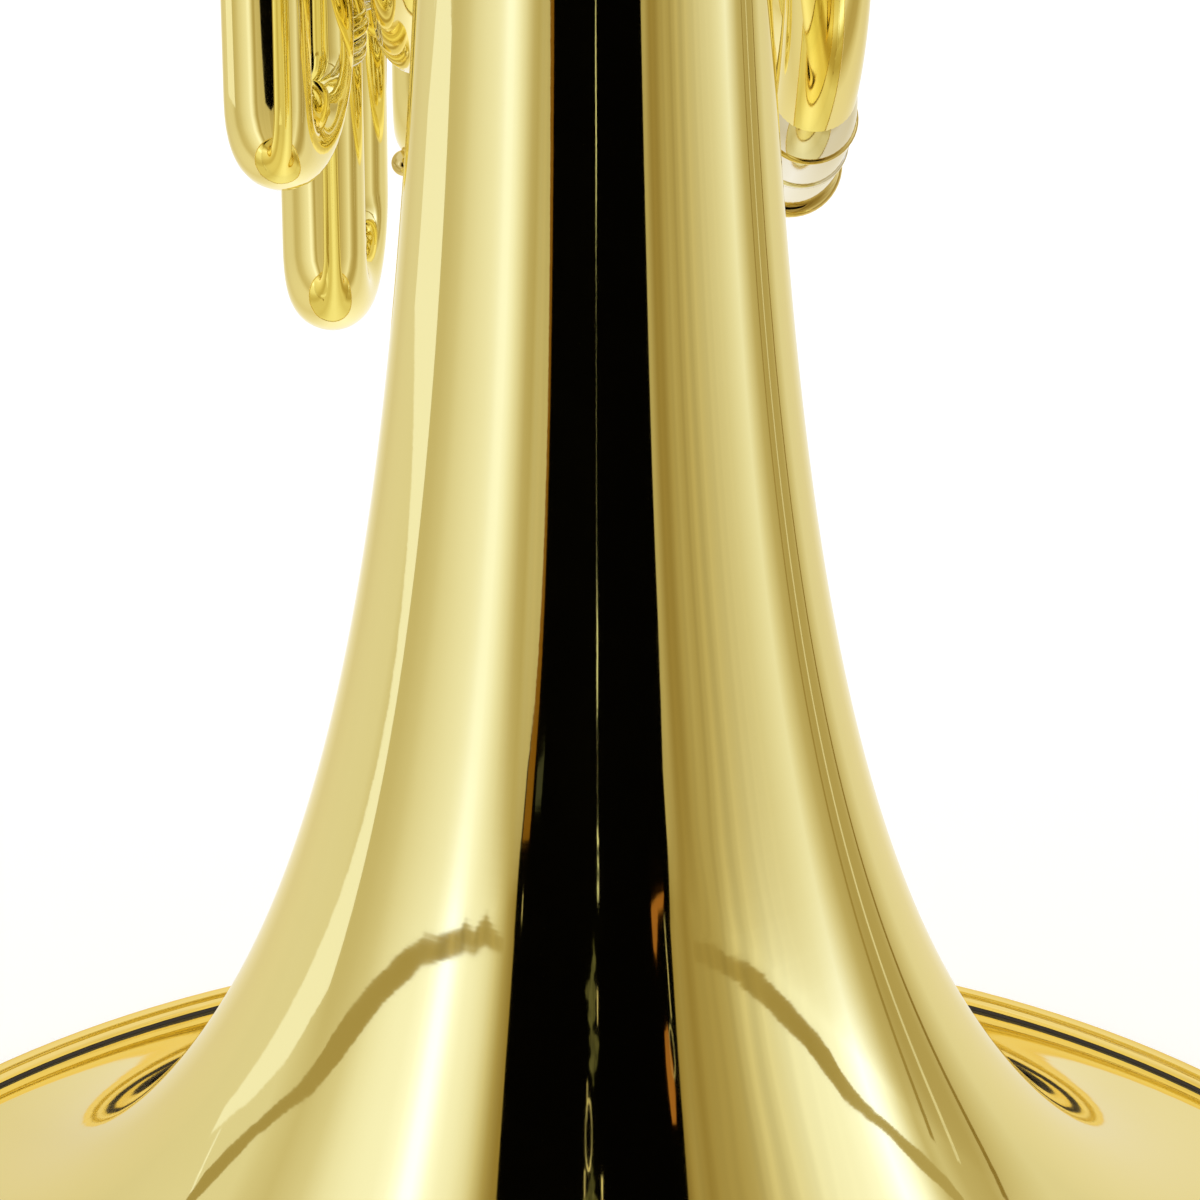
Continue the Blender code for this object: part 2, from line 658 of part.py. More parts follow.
def make_casing(place):
    """A valve casing with its port stubs and the arches to the next casing."""
    y, name = valve_y(place), NAMES[place]
    centre = vec(0, y, VALVE_Z)
    rim = 0.0010
    body = [(-CASING_HALF, SHAFT_BORE_R), (-CASING_HALF, CASING_R), (CASING_HALF - 0.008, CASING_R),
            (CASING_HALF - 0.007, CASING_R + rim), (CASING_HALF, CASING_R + rim), (CASING_HALF, CASING_BORE_R),
            (BACK_PLATE - CASING_HALF, CASING_BORE_R), (BACK_PLATE - CASING_HALF, SHAFT_BORE_R)]
    piece = add(name + "_casing", turned(body, centre, X, VALVE_SIDES, closed=True), BRASS)
    root = (CASING_R + CASING_BORE_R) / 2 + 0.0002
    fittings = []
    for deck in (-1, 1):
        x = deck * DECK_X
        for side in (-1, 1):
            foot = vec(x, y + side * PORT_Y, VALVE_Z)
            fittings.append(rod(line(foot - Z * 0.0100, foot - Z * STUB_REACH), STUB_R, 8))
        if place in (0, 3):
            way = unit(vec(0, -1 if place == 0 else 1, 1))
            hub = vec(x, y, VALVE_Z)
            fittings.append(rod(line(hub + way * root, hub + way * (STUB_REACH + 0.001)), STUB_R, 8))
        if place < 3:
            half = VALVE_STEP / 2
            reach = root * math.sqrt(0.5)
            radius = (half - reach) * math.sqrt(2.0)
            a = np.radians(np.linspace(135.0, 45.0, 6))
            arch = np.stack([np.full(6, x), y + half + radius * np.cos(a),
                             VALVE_Z + reach - (half - reach) + radius * np.sin(a)], axis=1)
            fittings.append(rod(arch, TUBE_R, 8))
    shape_with(piece, together(*fittings), "UNION", "fittings")
    inner = CASING_BORE_R
    bore = turned([(BACK_PLATE - CASING_HALF, inner), (CASING_HALF + 0.002, inner)], centre, X, VALVE_SIDES)
    shape_with(piece, bore, "DIFFERENCE", "bore")
    if place < 3:
        near = turned([(-CASING_HALF - 0.01, CASING_R + GAP), (CASING_HALF + 0.01, CASING_R + GAP)],
                      centre + Y * VALVE_STEP, X, VALVE_SIDES)
        shape_with(piece, near, "DIFFERENCE", "seat")


def make_rotor(place):
    """A two-deck rotor: each deck has two bent passages between its four ports."""
    centre = vec(0, valve_y(place), VALVE_Z)
    tail = CASING_HALF + HUB_LENGTH
    body = [(-tail, SHAFT_R), (-ROTOR_HALF, SHAFT_R), (-ROTOR_HALF, ROTOR_R), (ROTOR_HALF, ROTOR_R),
            (ROTOR_HALF, SHAFT_R), (CASING_HALF - 0.001, SHAFT_R)]
    piece = add(NAMES[place] + "_rotor", turned(body, centre, X, VALVE_SIDES), BRASS, tuple(centre))
    passages = []
    for deck in (-1, 1):
        for side in (-1, 1):
            a = np.radians(np.linspace(-155.0, -25.0, 6))
            middle = ROTOR_R * math.sqrt(2.0)
            path = np.stack([np.full(6, deck * DECK_X), centre[1] + ROTOR_R * np.cos(a),
                             VALVE_Z + side * (middle + ROTOR_R * np.sin(a))], axis=1)
            passages.append(rod(path, PASSAGE_R, 6))
    shape_with(piece, together(*passages), "DIFFERENCE", "passages")


def make_cap(place):
    """The screwed cap over the casing's open end."""
    centre = vec(CASING_HALF + GAP, valve_y(place), VALVE_Z)
    h, r = CAP_HEIGHT, CAP_R
    profile = [(0.0, r - 0.0006), (0.0006, r), (h - 0.0016, r), (h - 0.0008, r - 0.0012), (h - 0.0016, r - 0.0024),
               (h - 0.0012, 0.0090), (h - 0.0002, 0.0050), (h, 0.0030)]
    add(NAMES[place] + "_cap", turned(profile, centre, X, VALVE_SIDES), BRASS)


def make_stop_arm(place):
    """The hub on the rotor's shaft with its stop arm, which points at the bell."""
    centre = vec(-CASING_HALF, valve_y(place), VALVE_Z)
    bore = SHAFT_R + GAP
    start = HUB_START
    hub = [(start, bore), (start, HUB_R + HUB_RIM), (start + ARM_THICK, HUB_R + HUB_RIM),
           (start + ARM_THICK, HUB_R), (HUB_LENGTH, HUB_R), (HUB_LENGTH, bore)]
    piece = add(NAMES[place] + "_stop_arm", turned(hub, centre, -X, 12, closed=True), NICKEL,
                (-CASING_HALF, centre[1], VALVE_Z))
    middle = (HUB_R - HUB_RIM + ARM_REACH) / 2
    half = (ARM_REACH - HUB_R + HUB_RIM) / 2
    arm = block(centre + vec(-start - ARM_THICK / 2, -middle, 0), vec(ARM_THICK / 2 - 0.0002, half, 0.0019))
    shape_with(piece, arm, "UNION", "arm")


def make_string(place):
    """The cord: from the bar's top end, once round the hub, to the bar's low end."""
    centre = vec(-BAR_X, valve_y(place), VALVE_Z)
    wrap = HUB_R + STRING_R + GAP
    bar_face = HUB_R + BAR_GAP - STRING_R - GAP
    pitch = 0.0024
    a = np.linspace(math.pi / 9, -2 * math.pi - math.pi / 9, 15)
    turn = np.stack([centre[0] + pitch * (a - a[0]) / (2 * math.pi) + pitch / 2,
                     centre[1] + wrap * np.cos(a), VALVE_Z + wrap * np.sin(a)], axis=1)
    first = vec(turn[0][0], centre[1] + bar_face, VALVE_Z + BAR_REACH - 0.003)
    last = vec(turn[-1][0], first[1], VALVE_Z - BAR_REACH + 0.003)
    path = join([first], turn, [last])
    add(NAMES[place] + "_string", rod(path, STRING_R, 4), CORD)


# Levers


def lever_places():
    """For each valve: Y of its string bar and Y of its paddle."""
    bar = HUB_R + BAR_GAP + BAR_HALF
    middle = valve_y(2)
    return [(valve_y(0) + bar, valve_y(0) + 0.030)] + [
        (valve_y(p) + bar, middle + (p - 2) * PADDLE_STEP) for p in (1, 2, 3)]


def make_lever(place):
    """One lever: a barrel on the rod, an arm with the string bar, and an arm with the paddle."""
    bar_y, paddle_y = lever_places()[place]
    thumb = place == 0
    pivot = vec(0, 0, VALVE_Z + ROD_Z)
    low, high = min(bar_y, paddle_y) - 0.004, max(bar_y, paddle_y) + 0.004
    barrel = pipe(np.array([pivot + Y * low, pivot + Y * high]), BARREL_R, BARREL_R - BARREL_BORE_R, 12)
    name = "thumb_lever" if thumb else NAMES[place] + "_lever"
    piece = add(name, barrel, NICKEL, (0, (low + high) / 2, pivot[2]))
    skin_depth = (BARREL_R + BARREL_BORE_R) / 2
    start = pivot + vec(-skin_depth, bar_y, 0)
    knee = vec(-BAR_X, bar_y, pivot[2])
    arm = rod(join(line(start, knee + X * 0.008), bridge(knee + X * 0.008, -X, knee - Z * 0.008, -Z, 0.006, 5)),
              LEVER_ARM_R, 6)
    bar_top, bar_low = pivot[2] - 0.0072, VALVE_Z - BAR_REACH
    bar = block(vec(-BAR_X, bar_y, (bar_top + bar_low) / 2), vec(BAR_HALF, BAR_HALF, (bar_top - bar_low) / 2))
    shape_with(piece, arm, "UNION", "arm")
    shape_with(piece, bar, "UNION", "bar")
    out, rise = (-THUMB_OUT, THUMB_RISE) if thumb else (PADDLE_OUT, PADDLE_RISE)
    away = 1.0 if out > 0 else -1.0
    first = pivot + vec(away * skin_depth, paddle_y, 0)
    mid = vec(out * 0.75, paddle_y, pivot[2] + PADDLE_KNEE)
    top = vec(out - away * 0.0006, paddle_y, pivot[2] + rise)
    touch = rod(join(bridge(first, X * away, mid, Z, 0.010, 6), bridge(mid, Z, top, Z, 0.012, 5)), LEVER_ARM_R, 6)
    long = PADDLE_B * (0.62 if thumb else 1.0)
    layers = [(-PADDLE_THICK / 2, 0.86), (-PADDLE_THICK / 4, 1.0), (PADDLE_THICK / 4, 1.0), (PADDLE_THICK / 2, 0.86)]
    paddle = oval(vec(out + away * PADDLE_THICK / 3, paddle_y, pivot[2] + rise), X, Y * PADDLE_A, Z * long, layers)
    shape_with(piece, touch, "UNION", "touch")
    shape_with(piece, paddle, "UNION", "paddle")


def make_lever_rod():
    """The rod that carries the levers, and its two saddles on the casings."""
    height = VALVE_Z + ROD_Z
    start, end = valve_y(0) - 0.0165, valve_y(3) + 0.0165
    add("lever_rod", rod(np.array([vec(0, start, height), vec(0, end, height)]), ROD_R, 12), STEEL)
    saddles = [("near_saddle", 0, -0.0138), ("far_saddle", 3, 0.0138)]
    for name, place, offset in saddles:
        y = valve_y(place) + offset
        piece = add(name, pipe(np.array([vec(0, y - 0.002, height), vec(0, y + 0.002, height)]), BARREL_R,
                               BARREL_R - ROD_R - GAP, 12), BRASS)
        foot = VALVE_Z + 0.004
        top = height - (BARREL_R + ROD_R + GAP) / 2
        shape_with(piece, block(vec(0, y, (foot + top) / 2), vec(0.0030, 0.0018, (top - foot) / 2)), "UNION", "post")
        seat = turned([(-0.02, CASING_R + GAP), (0.02, CASING_R + GAP)], vec(0, valve_y(place), VALVE_Z), X,
                      VALVE_SIDES)
        shape_with(piece, seat, "DIFFERENCE", "seat")


# Braces and finger hook


def make_brace(name, start, end, start_r, end_r):
    """A turned stay between two tubes, given by their centres and radii."""
    way = unit(end - start)
    a, b = start_r + GAP, np.linalg.norm(end - start) - end_r - GAP
    span = b - a
    profile = [(a, 0.0042), (a + 0.15 * span, 0.0040), (a + 0.30 * span, 0.0019), (a + 0.70 * span, 0.0019),
               (b - 0.15 * span, 0.0040), (b, 0.0042)]
    add(name, turned(profile, start, way, 12), NICKEL)


def on_ring(x, radius, angle):
    """A point of the body's ring."""
    a = math.radians(angle)
    return vec(x, BODY_R + radius * math.cos(a), BODY_Z + radius * math.sin(a))


def make_braces():
    """Stays between the bell, its tail, the mouthpipe and the two branches."""
    height = BODY_Z + 0.010
    make_brace("bell_brace", vec(0, 0, height), vec(PIPE_OUT_X, PIPE_OUT_Y, height), branch_radius(180.0),
               PIPE_LARGE_R)
    make_brace("top_brace", on_ring(0, BODY_R, TOP_BRACE), on_ring(PIPE_X, PIPE_RING_R, TOP_BRACE),
               branch_radius(TOP_BRACE), pipe_radius_at(TOP_BRACE))
    make_brace("f_brace", on_ring(0, BODY_R, LOW_BRACE), on_ring(F_BRANCH_X, F_BRANCH_R, LOW_BRACE),
               branch_radius(LOW_BRACE), TUBE_R)
    make_brace("bb_brace", on_ring(0, BODY_R, LOW_BRACE), on_ring(BB_BRANCH_X, BB_BRANCH_R, LOW_BRACE),
               branch_radius(LOW_BRACE), TUBE_R)


def make_finger_hook():
    """The little finger's hook, on the mouthpipe at the far side of the ring."""
    a = math.radians(HOOK_ANGLE)
    along = vec(0, -math.sin(a), math.cos(a))
    foot = on_ring(PIPE_X, PIPE_RING_R, HOOK_ANGLE) + X * pipe_radius_at(HOOK_ANGLE)
    bend = foot + X * HOOK_FOOT + along * HOOK_BEND
    angles = np.radians(np.linspace(0.0, 165.0, 10))[:, None]
    hook = bend + HOOK_BEND * (np.sin(angles) * X - np.cos(angles) * along)
    path = join(line(foot, foot + X * HOOK_FOOT), hook)
    add("finger_hook", rod(path, HOOK_R, 8), NICKEL)


def settle():
    """Put the origin under the middle of the whole horn."""
    bpy.context.view_layer.update()
    corners = np.array([piece.matrix_world @ Vector(corner) for piece in ROOT.children
                        if not piece.hide_render for corner in piece.bound_box])
    middle = (corners.min(axis=0) + corners.max(axis=0)) / 2
    ROOT.location = (-middle[0], -middle[1], 0.0)


for old in list(bpy.data.objects):
    bpy.data.objects.remove(old)

ROOT = bpy.data.objects.new("horn", None)
bpy.context.collection.objects.link(ROOT)
BRASS = finish("lacquered_brass", (0.80, 0.60, 0.22), 0.12, 1.0)
NICKEL = finish("nickel_silver", (0.72, 0.69, 0.62), 0.15, 1.0)
SILVER = finish("silver_plate", (0.86, 0.86, 0.84), 0.10, 1.0)
STEEL = finish("steel", (0.55, 0.55, 0.56), 0.25, 1.0)
CORD = finish("braided_cord", (0.05, 0.05, 0.05), 0.80, 0.0)

make_bell()
make_bell_branch()
make_mouthpipe()
make_mouthpiece()
make_valve_slides()
make_f_tuning()
make_main_tuning()
make_branches()
for valve in range(4):
    make_casing(valve)
    make_rotor(valve)
    make_cap(valve)
    make_stop_arm(valve)
    make_string(valve)
    make_lever(valve)
make_lever_rod()
make_braces()
make_finger_hook()
settle()
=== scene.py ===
"""Double french horn, standing on the rim of its bell.

The sections follow the horn as it is put together: bell, tail, mouthpipe, valves, slides, tubing,
levers and strings, braces. Lengths are in metres. Places are written from the bell's axis, which
is vertical, and every piece is moved from there to where the frame has the bell.
"""
import json
import math

import bmesh
import bpy
import numpy as np
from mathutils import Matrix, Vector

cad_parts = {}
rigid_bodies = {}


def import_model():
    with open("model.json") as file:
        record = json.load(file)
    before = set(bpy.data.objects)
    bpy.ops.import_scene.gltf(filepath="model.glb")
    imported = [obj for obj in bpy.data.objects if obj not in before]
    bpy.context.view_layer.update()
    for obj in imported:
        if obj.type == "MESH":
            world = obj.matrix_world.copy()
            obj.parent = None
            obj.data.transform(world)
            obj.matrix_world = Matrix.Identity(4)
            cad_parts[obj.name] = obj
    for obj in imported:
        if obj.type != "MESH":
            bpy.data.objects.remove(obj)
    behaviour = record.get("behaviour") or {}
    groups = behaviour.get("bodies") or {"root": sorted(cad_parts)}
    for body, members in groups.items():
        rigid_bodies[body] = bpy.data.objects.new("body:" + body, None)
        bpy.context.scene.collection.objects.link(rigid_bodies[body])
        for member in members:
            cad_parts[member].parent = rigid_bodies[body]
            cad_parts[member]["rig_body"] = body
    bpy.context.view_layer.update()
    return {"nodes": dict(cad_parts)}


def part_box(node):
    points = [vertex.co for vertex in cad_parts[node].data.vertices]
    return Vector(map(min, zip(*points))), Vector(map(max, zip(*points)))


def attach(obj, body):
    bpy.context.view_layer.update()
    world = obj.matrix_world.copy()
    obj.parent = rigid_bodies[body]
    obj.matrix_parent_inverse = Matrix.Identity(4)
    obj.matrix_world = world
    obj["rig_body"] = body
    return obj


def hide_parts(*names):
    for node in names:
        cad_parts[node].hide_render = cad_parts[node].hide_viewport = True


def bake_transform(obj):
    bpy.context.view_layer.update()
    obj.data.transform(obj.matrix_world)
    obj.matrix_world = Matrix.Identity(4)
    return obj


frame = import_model()

# Studio. The horn stands on a pale floor in a light tent of white cloth. The tent is open
# towards the camera, so the bell shows that opening as a black stripe down its middle, and the
# hems of the cloth as a dark line just under the horizon.


def vec(x, y, z):
    """A point or a direction."""
    return np.array([x, y, z], float)


def grid(points, uv, wrap=True, loop=False, ends=False):
    """Quads between the rows and columns of a grid of points.

    With wrap the last column meets the first, and with loop the last row meets the first; uv then
    has one column or row more than the points. With ends the first and last row get one face each.
    """
    rows, cols = points.shape[:2]
    r = np.arange(rows if loop else rows - 1)[:, None]
    c = np.arange(cols if wrap else cols - 1)[None, :]
    below, beside = (r + 1) % rows, (c + 1) % cols
    faces = np.stack([r * cols + c, r * cols + beside, below * cols + beside, below * cols + c], axis=-1)
    marks = np.stack([uv[:-1, :-1], uv[:-1, 1:], uv[1:, 1:], uv[1:, :-1]], axis=2).reshape(-1, 2)
    faces = faces.reshape(-1, 4).tolist()
    if ends:
        faces += [list(range(cols))[::-1], [(rows - 1) * cols + k for k in range(cols)]]
        marks = np.concatenate([marks, uv[0, :cols][::-1], uv[-1, :cols]])
    return points.reshape(-1, 3), faces, marks


def mesh_of(name, sheets, move=(0.0, 0.0, 0.0)):
    """One mesh from several sheets, with their UV marks."""
    faces, start = [], 0
    for points, quads, _ in sheets:
        faces += [[corner + start for corner in face] for face in quads]
        start += len(points)
    mesh = bpy.data.meshes.new(name)
    mesh.from_pydata((np.concatenate([s[0] for s in sheets]) + np.array(move)).tolist(), [], faces)
    marks = mesh.uv_layers.new(name="UVMap")
    marks.data.foreach_set("uv", np.concatenate([s[2] for s in sheets]).astype(np.float32).ravel())
    return mesh


class Amount:
    """A number or colour that varies over a surface. Arithmetic on it adds Math nodes."""

    def __init__(self, finish, socket):
        self.finish, self.socket = finish, socket

    def maths(self, operation, *values):
        """The result of one Math node."""
        return self.finish.node("ShaderNodeMath", {"operation": operation}, dict(enumerate(values)))

    def __add__(self, other):
        return self.maths("ADD", self, other)

    __radd__ = __add__

    def __sub__(self, other):
        return self.maths("SUBTRACT", self, other)

    def __rsub__(self, other):
        return self.maths("SUBTRACT", other, self)

    def __mul__(self, other):
        return self.maths("MULTIPLY", self, other)

    __rmul__ = __mul__


class Finish:
    """A material and the nodes that make it."""

    def __init__(self, name, slot=None):
        self.slot = slot
        self.material = bpy.data.materials.new(name)
        self.material.use_nodes = True
        self.tree = self.material.node_tree
        self.shader = self.tree.nodes["Principled BSDF"]

    def node(self, kind, settings=None, sockets=None, out=0):
        """One node: its settings come first, then the values or links of its sockets."""
        node = self.tree.nodes.new(kind)
        for key, value in (settings or {}).items():
            if key == "stops":
                ramp = node.color_ramp.elements
                while len(ramp) < len(value):
                    ramp.new(1.0)
                for stop, (place, colour) in zip(ramp, value):
                    stop.position, stop.color = place, (*colour, 1.0)
            else:
                setattr(node, key, value)
        self.feed(node, sockets or {})
        return Amount(self, node.outputs[out])

    def feed(self, node, sockets):
        """Values and links into a node's sockets."""
        for key, value in sockets.items():
            if isinstance(value, Amount):
                self.tree.links.new(value.socket, node.inputs[key])
            else:
                node.inputs[key].default_value = value


def staged(name, mesh, finish, seen=True):
    """A piece of the studio; one that isn't seen shows only in what the horn reflects."""
    thing = bpy.data.objects.new(name, mesh)
    bpy.context.collection.objects.link(thing)
    mesh.materials.append(finish.material)
    thing.visible_camera = seen
    if not seen:
        thing.visible_diffuse = thing.visible_shadow = thing.visible_transmission = False
    return thing


bell_low, bell_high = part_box("bell")
BELL_Y = (bell_low.y + bell_high.y) / 2
FROM_BELL = (0.0, BELL_Y, 0.0)

CAMERA_BACK = 0.8700 - 0.06013
camera = bpy.data.objects.new("camera", bpy.data.cameras.new("camera"))
camera.data.lens = 190.7
camera.data.sensor_width = 36.0
camera.location = (0.001, BELL_Y - CAMERA_BACK, 0.6027)
camera.rotation_euler = (math.radians(61.23), 0.0, 0.0)
bpy.context.collection.objects.link(camera)
bpy.context.scene.camera = camera
bpy.context.scene.view_settings.view_transform = "Standard"

world = bpy.data.worlds.new("studio")
world.use_nodes = True
world.node_tree.nodes["Background"].inputs["Color"].default_value = (1.0, 1.0, 1.0, 1.0)
world.node_tree.nodes["Background"].inputs["Strength"].default_value = 1.0
bpy.context.scene.world = world

FLOOR_HALF = 12.0
corners = FLOOR_HALF * np.array([[[-1, -1, 0], [1, -1, 0]], [[-1, 1, 0], [1, 1, 0]]], float)
paper = Finish("floor_paper")
grain = paper.node("ShaderNodeTexNoise", sockets={"Scale": 3.0, "Detail": 4.0}, out="Fac")
paper.feed(paper.shader, {"Base Color": paper.node("ShaderNodeMix", {"data_type": "RGBA"}, {
    0: grain, 6: (0.93, 0.93, 0.93, 1.0), 7: (0.96, 0.96, 0.96, 1.0)}, out=2), "Roughness": 0.8})
glow = paper.node("ShaderNodeLightPath", out="Is Camera Ray")
paper.feed(paper.shader, {"Emission Strength": 1.0, "Emission Color": paper.node(
    "ShaderNodeVectorMath", {"operation": "SCALE"}, {0: (0.16, 0.16, 0.16), "Scale": glow})})
staged("floor", mesh_of("floor", [grid(corners, corners[:, :, :2], wrap=False)]), paper)

# Brightness of the cloth by direction round the bell, in degrees from the camera's side: the ground near
# the horn and the tent's far walls. Two strobes outside the tent make the brightest places of the walls.
LEFT_NEAR = [(24, 0.58), (31, 0.60), (33.5, 0.48), (37, 0.47), (40, 0.62), (44, 0.82), (47, 0.95), (50, 1.02),
             (53, 0.98), (56, 0.90), (60, 0.87), (66, 0.83), (72, 0.78), (78, 0.73), (84, 0.65), (92, 0.59),
             (98, 0.58), (103, 0.67), (108, 0.74), (120, 0.75), (130, 0.74), (141, 0.70), (152, 0.80), (165, 0.95),
             (180, 1.0)]
LEFT_FAR = [(24, 0.28), (29.5, 0.29), (32.5, 0.42), (35.5, 0.64), (38.5, 0.82), (42.5, 0.93), (46, 0.98),
            (49, 1.07), (51.5, 1.24), (53.5, 1.33), (55.5, 1.31), (58, 1.16), (61, 1.04), (65, 0.98), (70, 0.96),
            (74, 0.93), (79, 0.87), (86, 0.72), (96, 0.62), (103, 0.68), (108, 0.75), (130, 0.76), (141, 0.72),
            (152, 0.82), (165, 0.97), (180, 1.0)]
RIGHT_NEAR = [(24, 0.50), (32, 0.50), (35.5, 0.31), (39, 0.30), (42.5, 0.42), (45.5, 0.46), (49, 0.41), (53, 0.45),
              (58, 0.50), (64, 0.56), (70, 0.61), (78, 0.68), (86, 0.78), (92, 0.85), (97, 0.70), (103, 0.52),
              (111, 0.43), (119, 0.46), (125, 0.62), (131, 0.75), (145, 0.76), (163, 0.90), (180, 1.0)]
RIGHT_FAR = [(24, 0.30), (27, 0.24), (31, 0.38), (34.5, 0.31), (38, 0.38), (44, 0.41), (48, 0.47), (53, 0.62),
             (58, 0.69), (63, 0.79), (68, 0.90), (73, 0.95), (80, 0.99), (85, 1.06), (89, 1.20), (92, 1.33),
             (95, 1.24), (98, 1.07), (102, 0.76), (105, 0.57), (108, 0.64), (112, 0.54), (119, 0.50), (125, 0.66),
             (131, 0.80), (145, 0.78), (163, 0.92), (180, 1.0)]
CLOTH_PEAK = 1.34
TENT_R = 2.3


def warm(light):
    """The colour of the cloth's glow at a brightness, yellower the dimmer it is: painted light, so that the brass shows
    a deeper gold where it mirrors dim cloth.
    """
    return (light, light ** 1.3, light ** 2.35)


def skylight(finish, place):
    """How far up the tent a place is: there everything fades into the white light from above."""
    height = finish.node("ShaderNodeSeparateXYZ", sockets={0: place}, out=2)
    return finish.node("ShaderNodeMapRange", {"interpolation_type": "SMOOTHSTEP"}, {0: height, 1: 0.9, 2: 1.88, 3: 0.0, 4: 1.0})


def tent_cloth(name, side, near, far, fold):
    """Glowing cloth on one side of the tent, between its near and far brightness by distance. fold is
    (share, from, to): the upright folds' share of the light, which fades out between two directions."""
    cloth = Finish(name)
    place = cloth.node("ShaderNodeTexCoord", out="Object")
    across = cloth.node("ShaderNodeSeparateXYZ", sockets={0: place}, out=0) * side
    back = cloth.node("ShaderNodeSeparateXYZ", sockets={0: place}, out=1) - BELL_Y
    turn = across.maths("ARCTAN2", across, back * -1.0) * (180.0 / math.pi)
    away = across.maths("SQRT", across * across + back * back)
    near, far = [cloth.node("ShaderNodeValToRGB", {"stops": [
        (degrees / 180.0, tuple(part / warm(CLOTH_PEAK)[2] for part in warm(light))) for degrees, light in lights]},
        {0: turn * (1.0 / 180.0)}) for lights in (near, far)]
    distant = cloth.node("ShaderNodeMapRange", sockets={0: away, 1: 0.55, 2: 1.60, 3: 0.0, 4: 1.0})
    light = cloth.node("ShaderNodeMix", {"data_type": "RGBA"}, {0: distant, 6: near, 7: far}, out=2)
    white = tuple(1.0 / warm(CLOTH_PEAK)[2] for _ in range(3))
    light = cloth.node("ShaderNodeMix", {"data_type": "RGBA"}, {0: skylight(cloth, place), 6: light, 7: (*white, 1.0)}, out=2)
    wander = cloth.node("ShaderNodeTexNoise", sockets={"Vector": place, "Scale": 1.6, "Detail": 1.0})
    folds = cloth.node("ShaderNodeTexNoise", {"noise_dimensions": "1D"},
                       {"W": turn * 0.24 + wander * 1.6, "Scale": 1.0, "Detail": 1.6})
    share, start, end = fold
    faded = cloth.node("ShaderNodeMapRange", sockets={0: turn, 1: start, 2: end, 3: share, 4: 0.0})
    close = cloth.node("ShaderNodeMapRange", sockets={0: away, 1: 0.18, 2: 0.40, 3: 1.10, 4: 1.0})
    lit = cloth.node("ShaderNodeVectorMath", {"operation": "SCALE"},
                     {0: light, "Scale": close * (1.0 + (folds - 0.5) * 2.0 * faded)})
    cloth.feed(cloth.shader, {"Base Color": (0.0, 0.0, 0.0, 1.0), "Specular IOR Level": 0.0, "Emission Color": lit,
                              "Emission Strength": warm(CLOTH_PEAK)[2]})
    return cloth


def glow_of(name, colour, change=0.0, size=8.0):
    """Something plain in the studio that shows in the horn, with patches of change in its light."""
    finish = Finish(name)
    place = finish.node("ShaderNodeTexCoord", out="Object")
    patch = finish.node("ShaderNodeTexNoise", sockets={"Vector": place, "Scale": size, "Detail": 3.0})
    light = finish.node("ShaderNodeVectorMath", {"operation": "SCALE"}, {0: colour, "Scale": (patch - 0.5) * change + 1.0})
    finish.feed(finish.shader, {"Base Color": (0.0, 0.0, 0.0, 1.0), "Specular IOR Level": 0.0,
                                "Emission Color": light, "Emission Strength": 1.0})
    return finish


def spots(table):
    """Studio points from rows of (degrees from the camera's side, distance from the bell, height)."""
    turn, away, height = np.array(table, float).T
    turn = np.radians(turn)
    return np.stack([away * np.sin(turn), BELL_Y - away * np.cos(turn), height], axis=1)


def span(table, start, end, count=120):
    """A table's rows at evenly spread directions."""
    turn = np.linspace(start, end, count)
    turns, away, height = np.array(sorted(table), float).T
    return np.stack([turn, np.interp(turn, turns, away), np.interp(turn, turns, height)], axis=1)


def band(name, finish, near, far):
    """A piece of the studio between two rows of spots; it shows only in what the horn reflects."""
    uv = np.stack(np.meshgrid([0.0, 1.0], np.linspace(0, 1, len(near)), indexing="ij"), axis=-1)
    sheet = grid(np.array([spots(near), spots(far)]), uv, wrap=False)
    return staged(name, mesh_of(name, [sheet]), finish, seen=False)


left_cloth = tent_cloth("left_cloth", -1.0, LEFT_NEAR, LEFT_FAR, (0.08, 36.0, 46.0))
right_cloth = tent_cloth("right_cloth", 1.0, RIGHT_NEAR, RIGHT_FAR, (0.16, 56.0, 84.0))
for side, cloth in ((-1, left_cloth), (1, right_cloth)):
    name = "left" if side < 0 else "right"
    turns = side * np.linspace(0.0, 180.0, 90)
    rows = [np.stack([turns, np.full(90, away), np.full(90, height)], axis=1)
            for away, height in ((0.157, 0.0006), (TENT_R, 0.0006), (TENT_R, 1.9))]
    band(name + "_ground_cloth", cloth, rows[0], rows[1])
    band(name + "_wall_cloth", cloth, rows[1], rows[2])

# The hems, where the walls' cloth meets the cloth on the ground: near edge, then far edge
LEFT_HEM = ([(-33, 2.26, 0), (-37, 1.90, 0), (-40.7, 1.59, 0), (-43.1, 1.63, 0), (-44.9, 1.69, 0), (-46.8, 1.58, 0),
             (-48.7, 1.47, 0), (-50.7, 1.51, 0), (-53.9, 1.46, 0), (-59.3, 1.40, 0), (-64.3, 1.25, 0), (-70.5, 1.18, 0),
             (-80.2, 1.12, 0), (-89.4, 1.11, 0), (-93.2, 1.20, 0), (-96.1, 1.35, 0), (-100.4, 1.44, 0),
             (-105, 1.35, 0), (-110.5, 1.26, 0), (-115.2, 1.20, 0), (-118.7, 1.39, 0), (-120, 2.27, 0)],
            [(-33, 2.27, 0.029), (-37.1, 2.27, 0.016), (-40, 2.27, 0.001), (-43.9, 2.27, 0.002), (-47.3, 2.04, 0),
             (-50.8, 1.99, 0), (-58, 1.79, 0), (-63.4, 1.63, 0), (-71.4, 1.64, 0), (-76.6, 1.65, 0), (-81.4, 1.79, 0),
             (-85.6, 2.11, 0), (-89.7, 2.27, 0.008), (-94.2, 2.27, 0.02), (-98.4, 2.27, 0.007), (-103.2, 2.20, 0),
             (-108.8, 1.98, 0), (-112.8, 2.27, 0.009), (-116, 2.27, 0.04), (-120, 2.27, 0.08)])
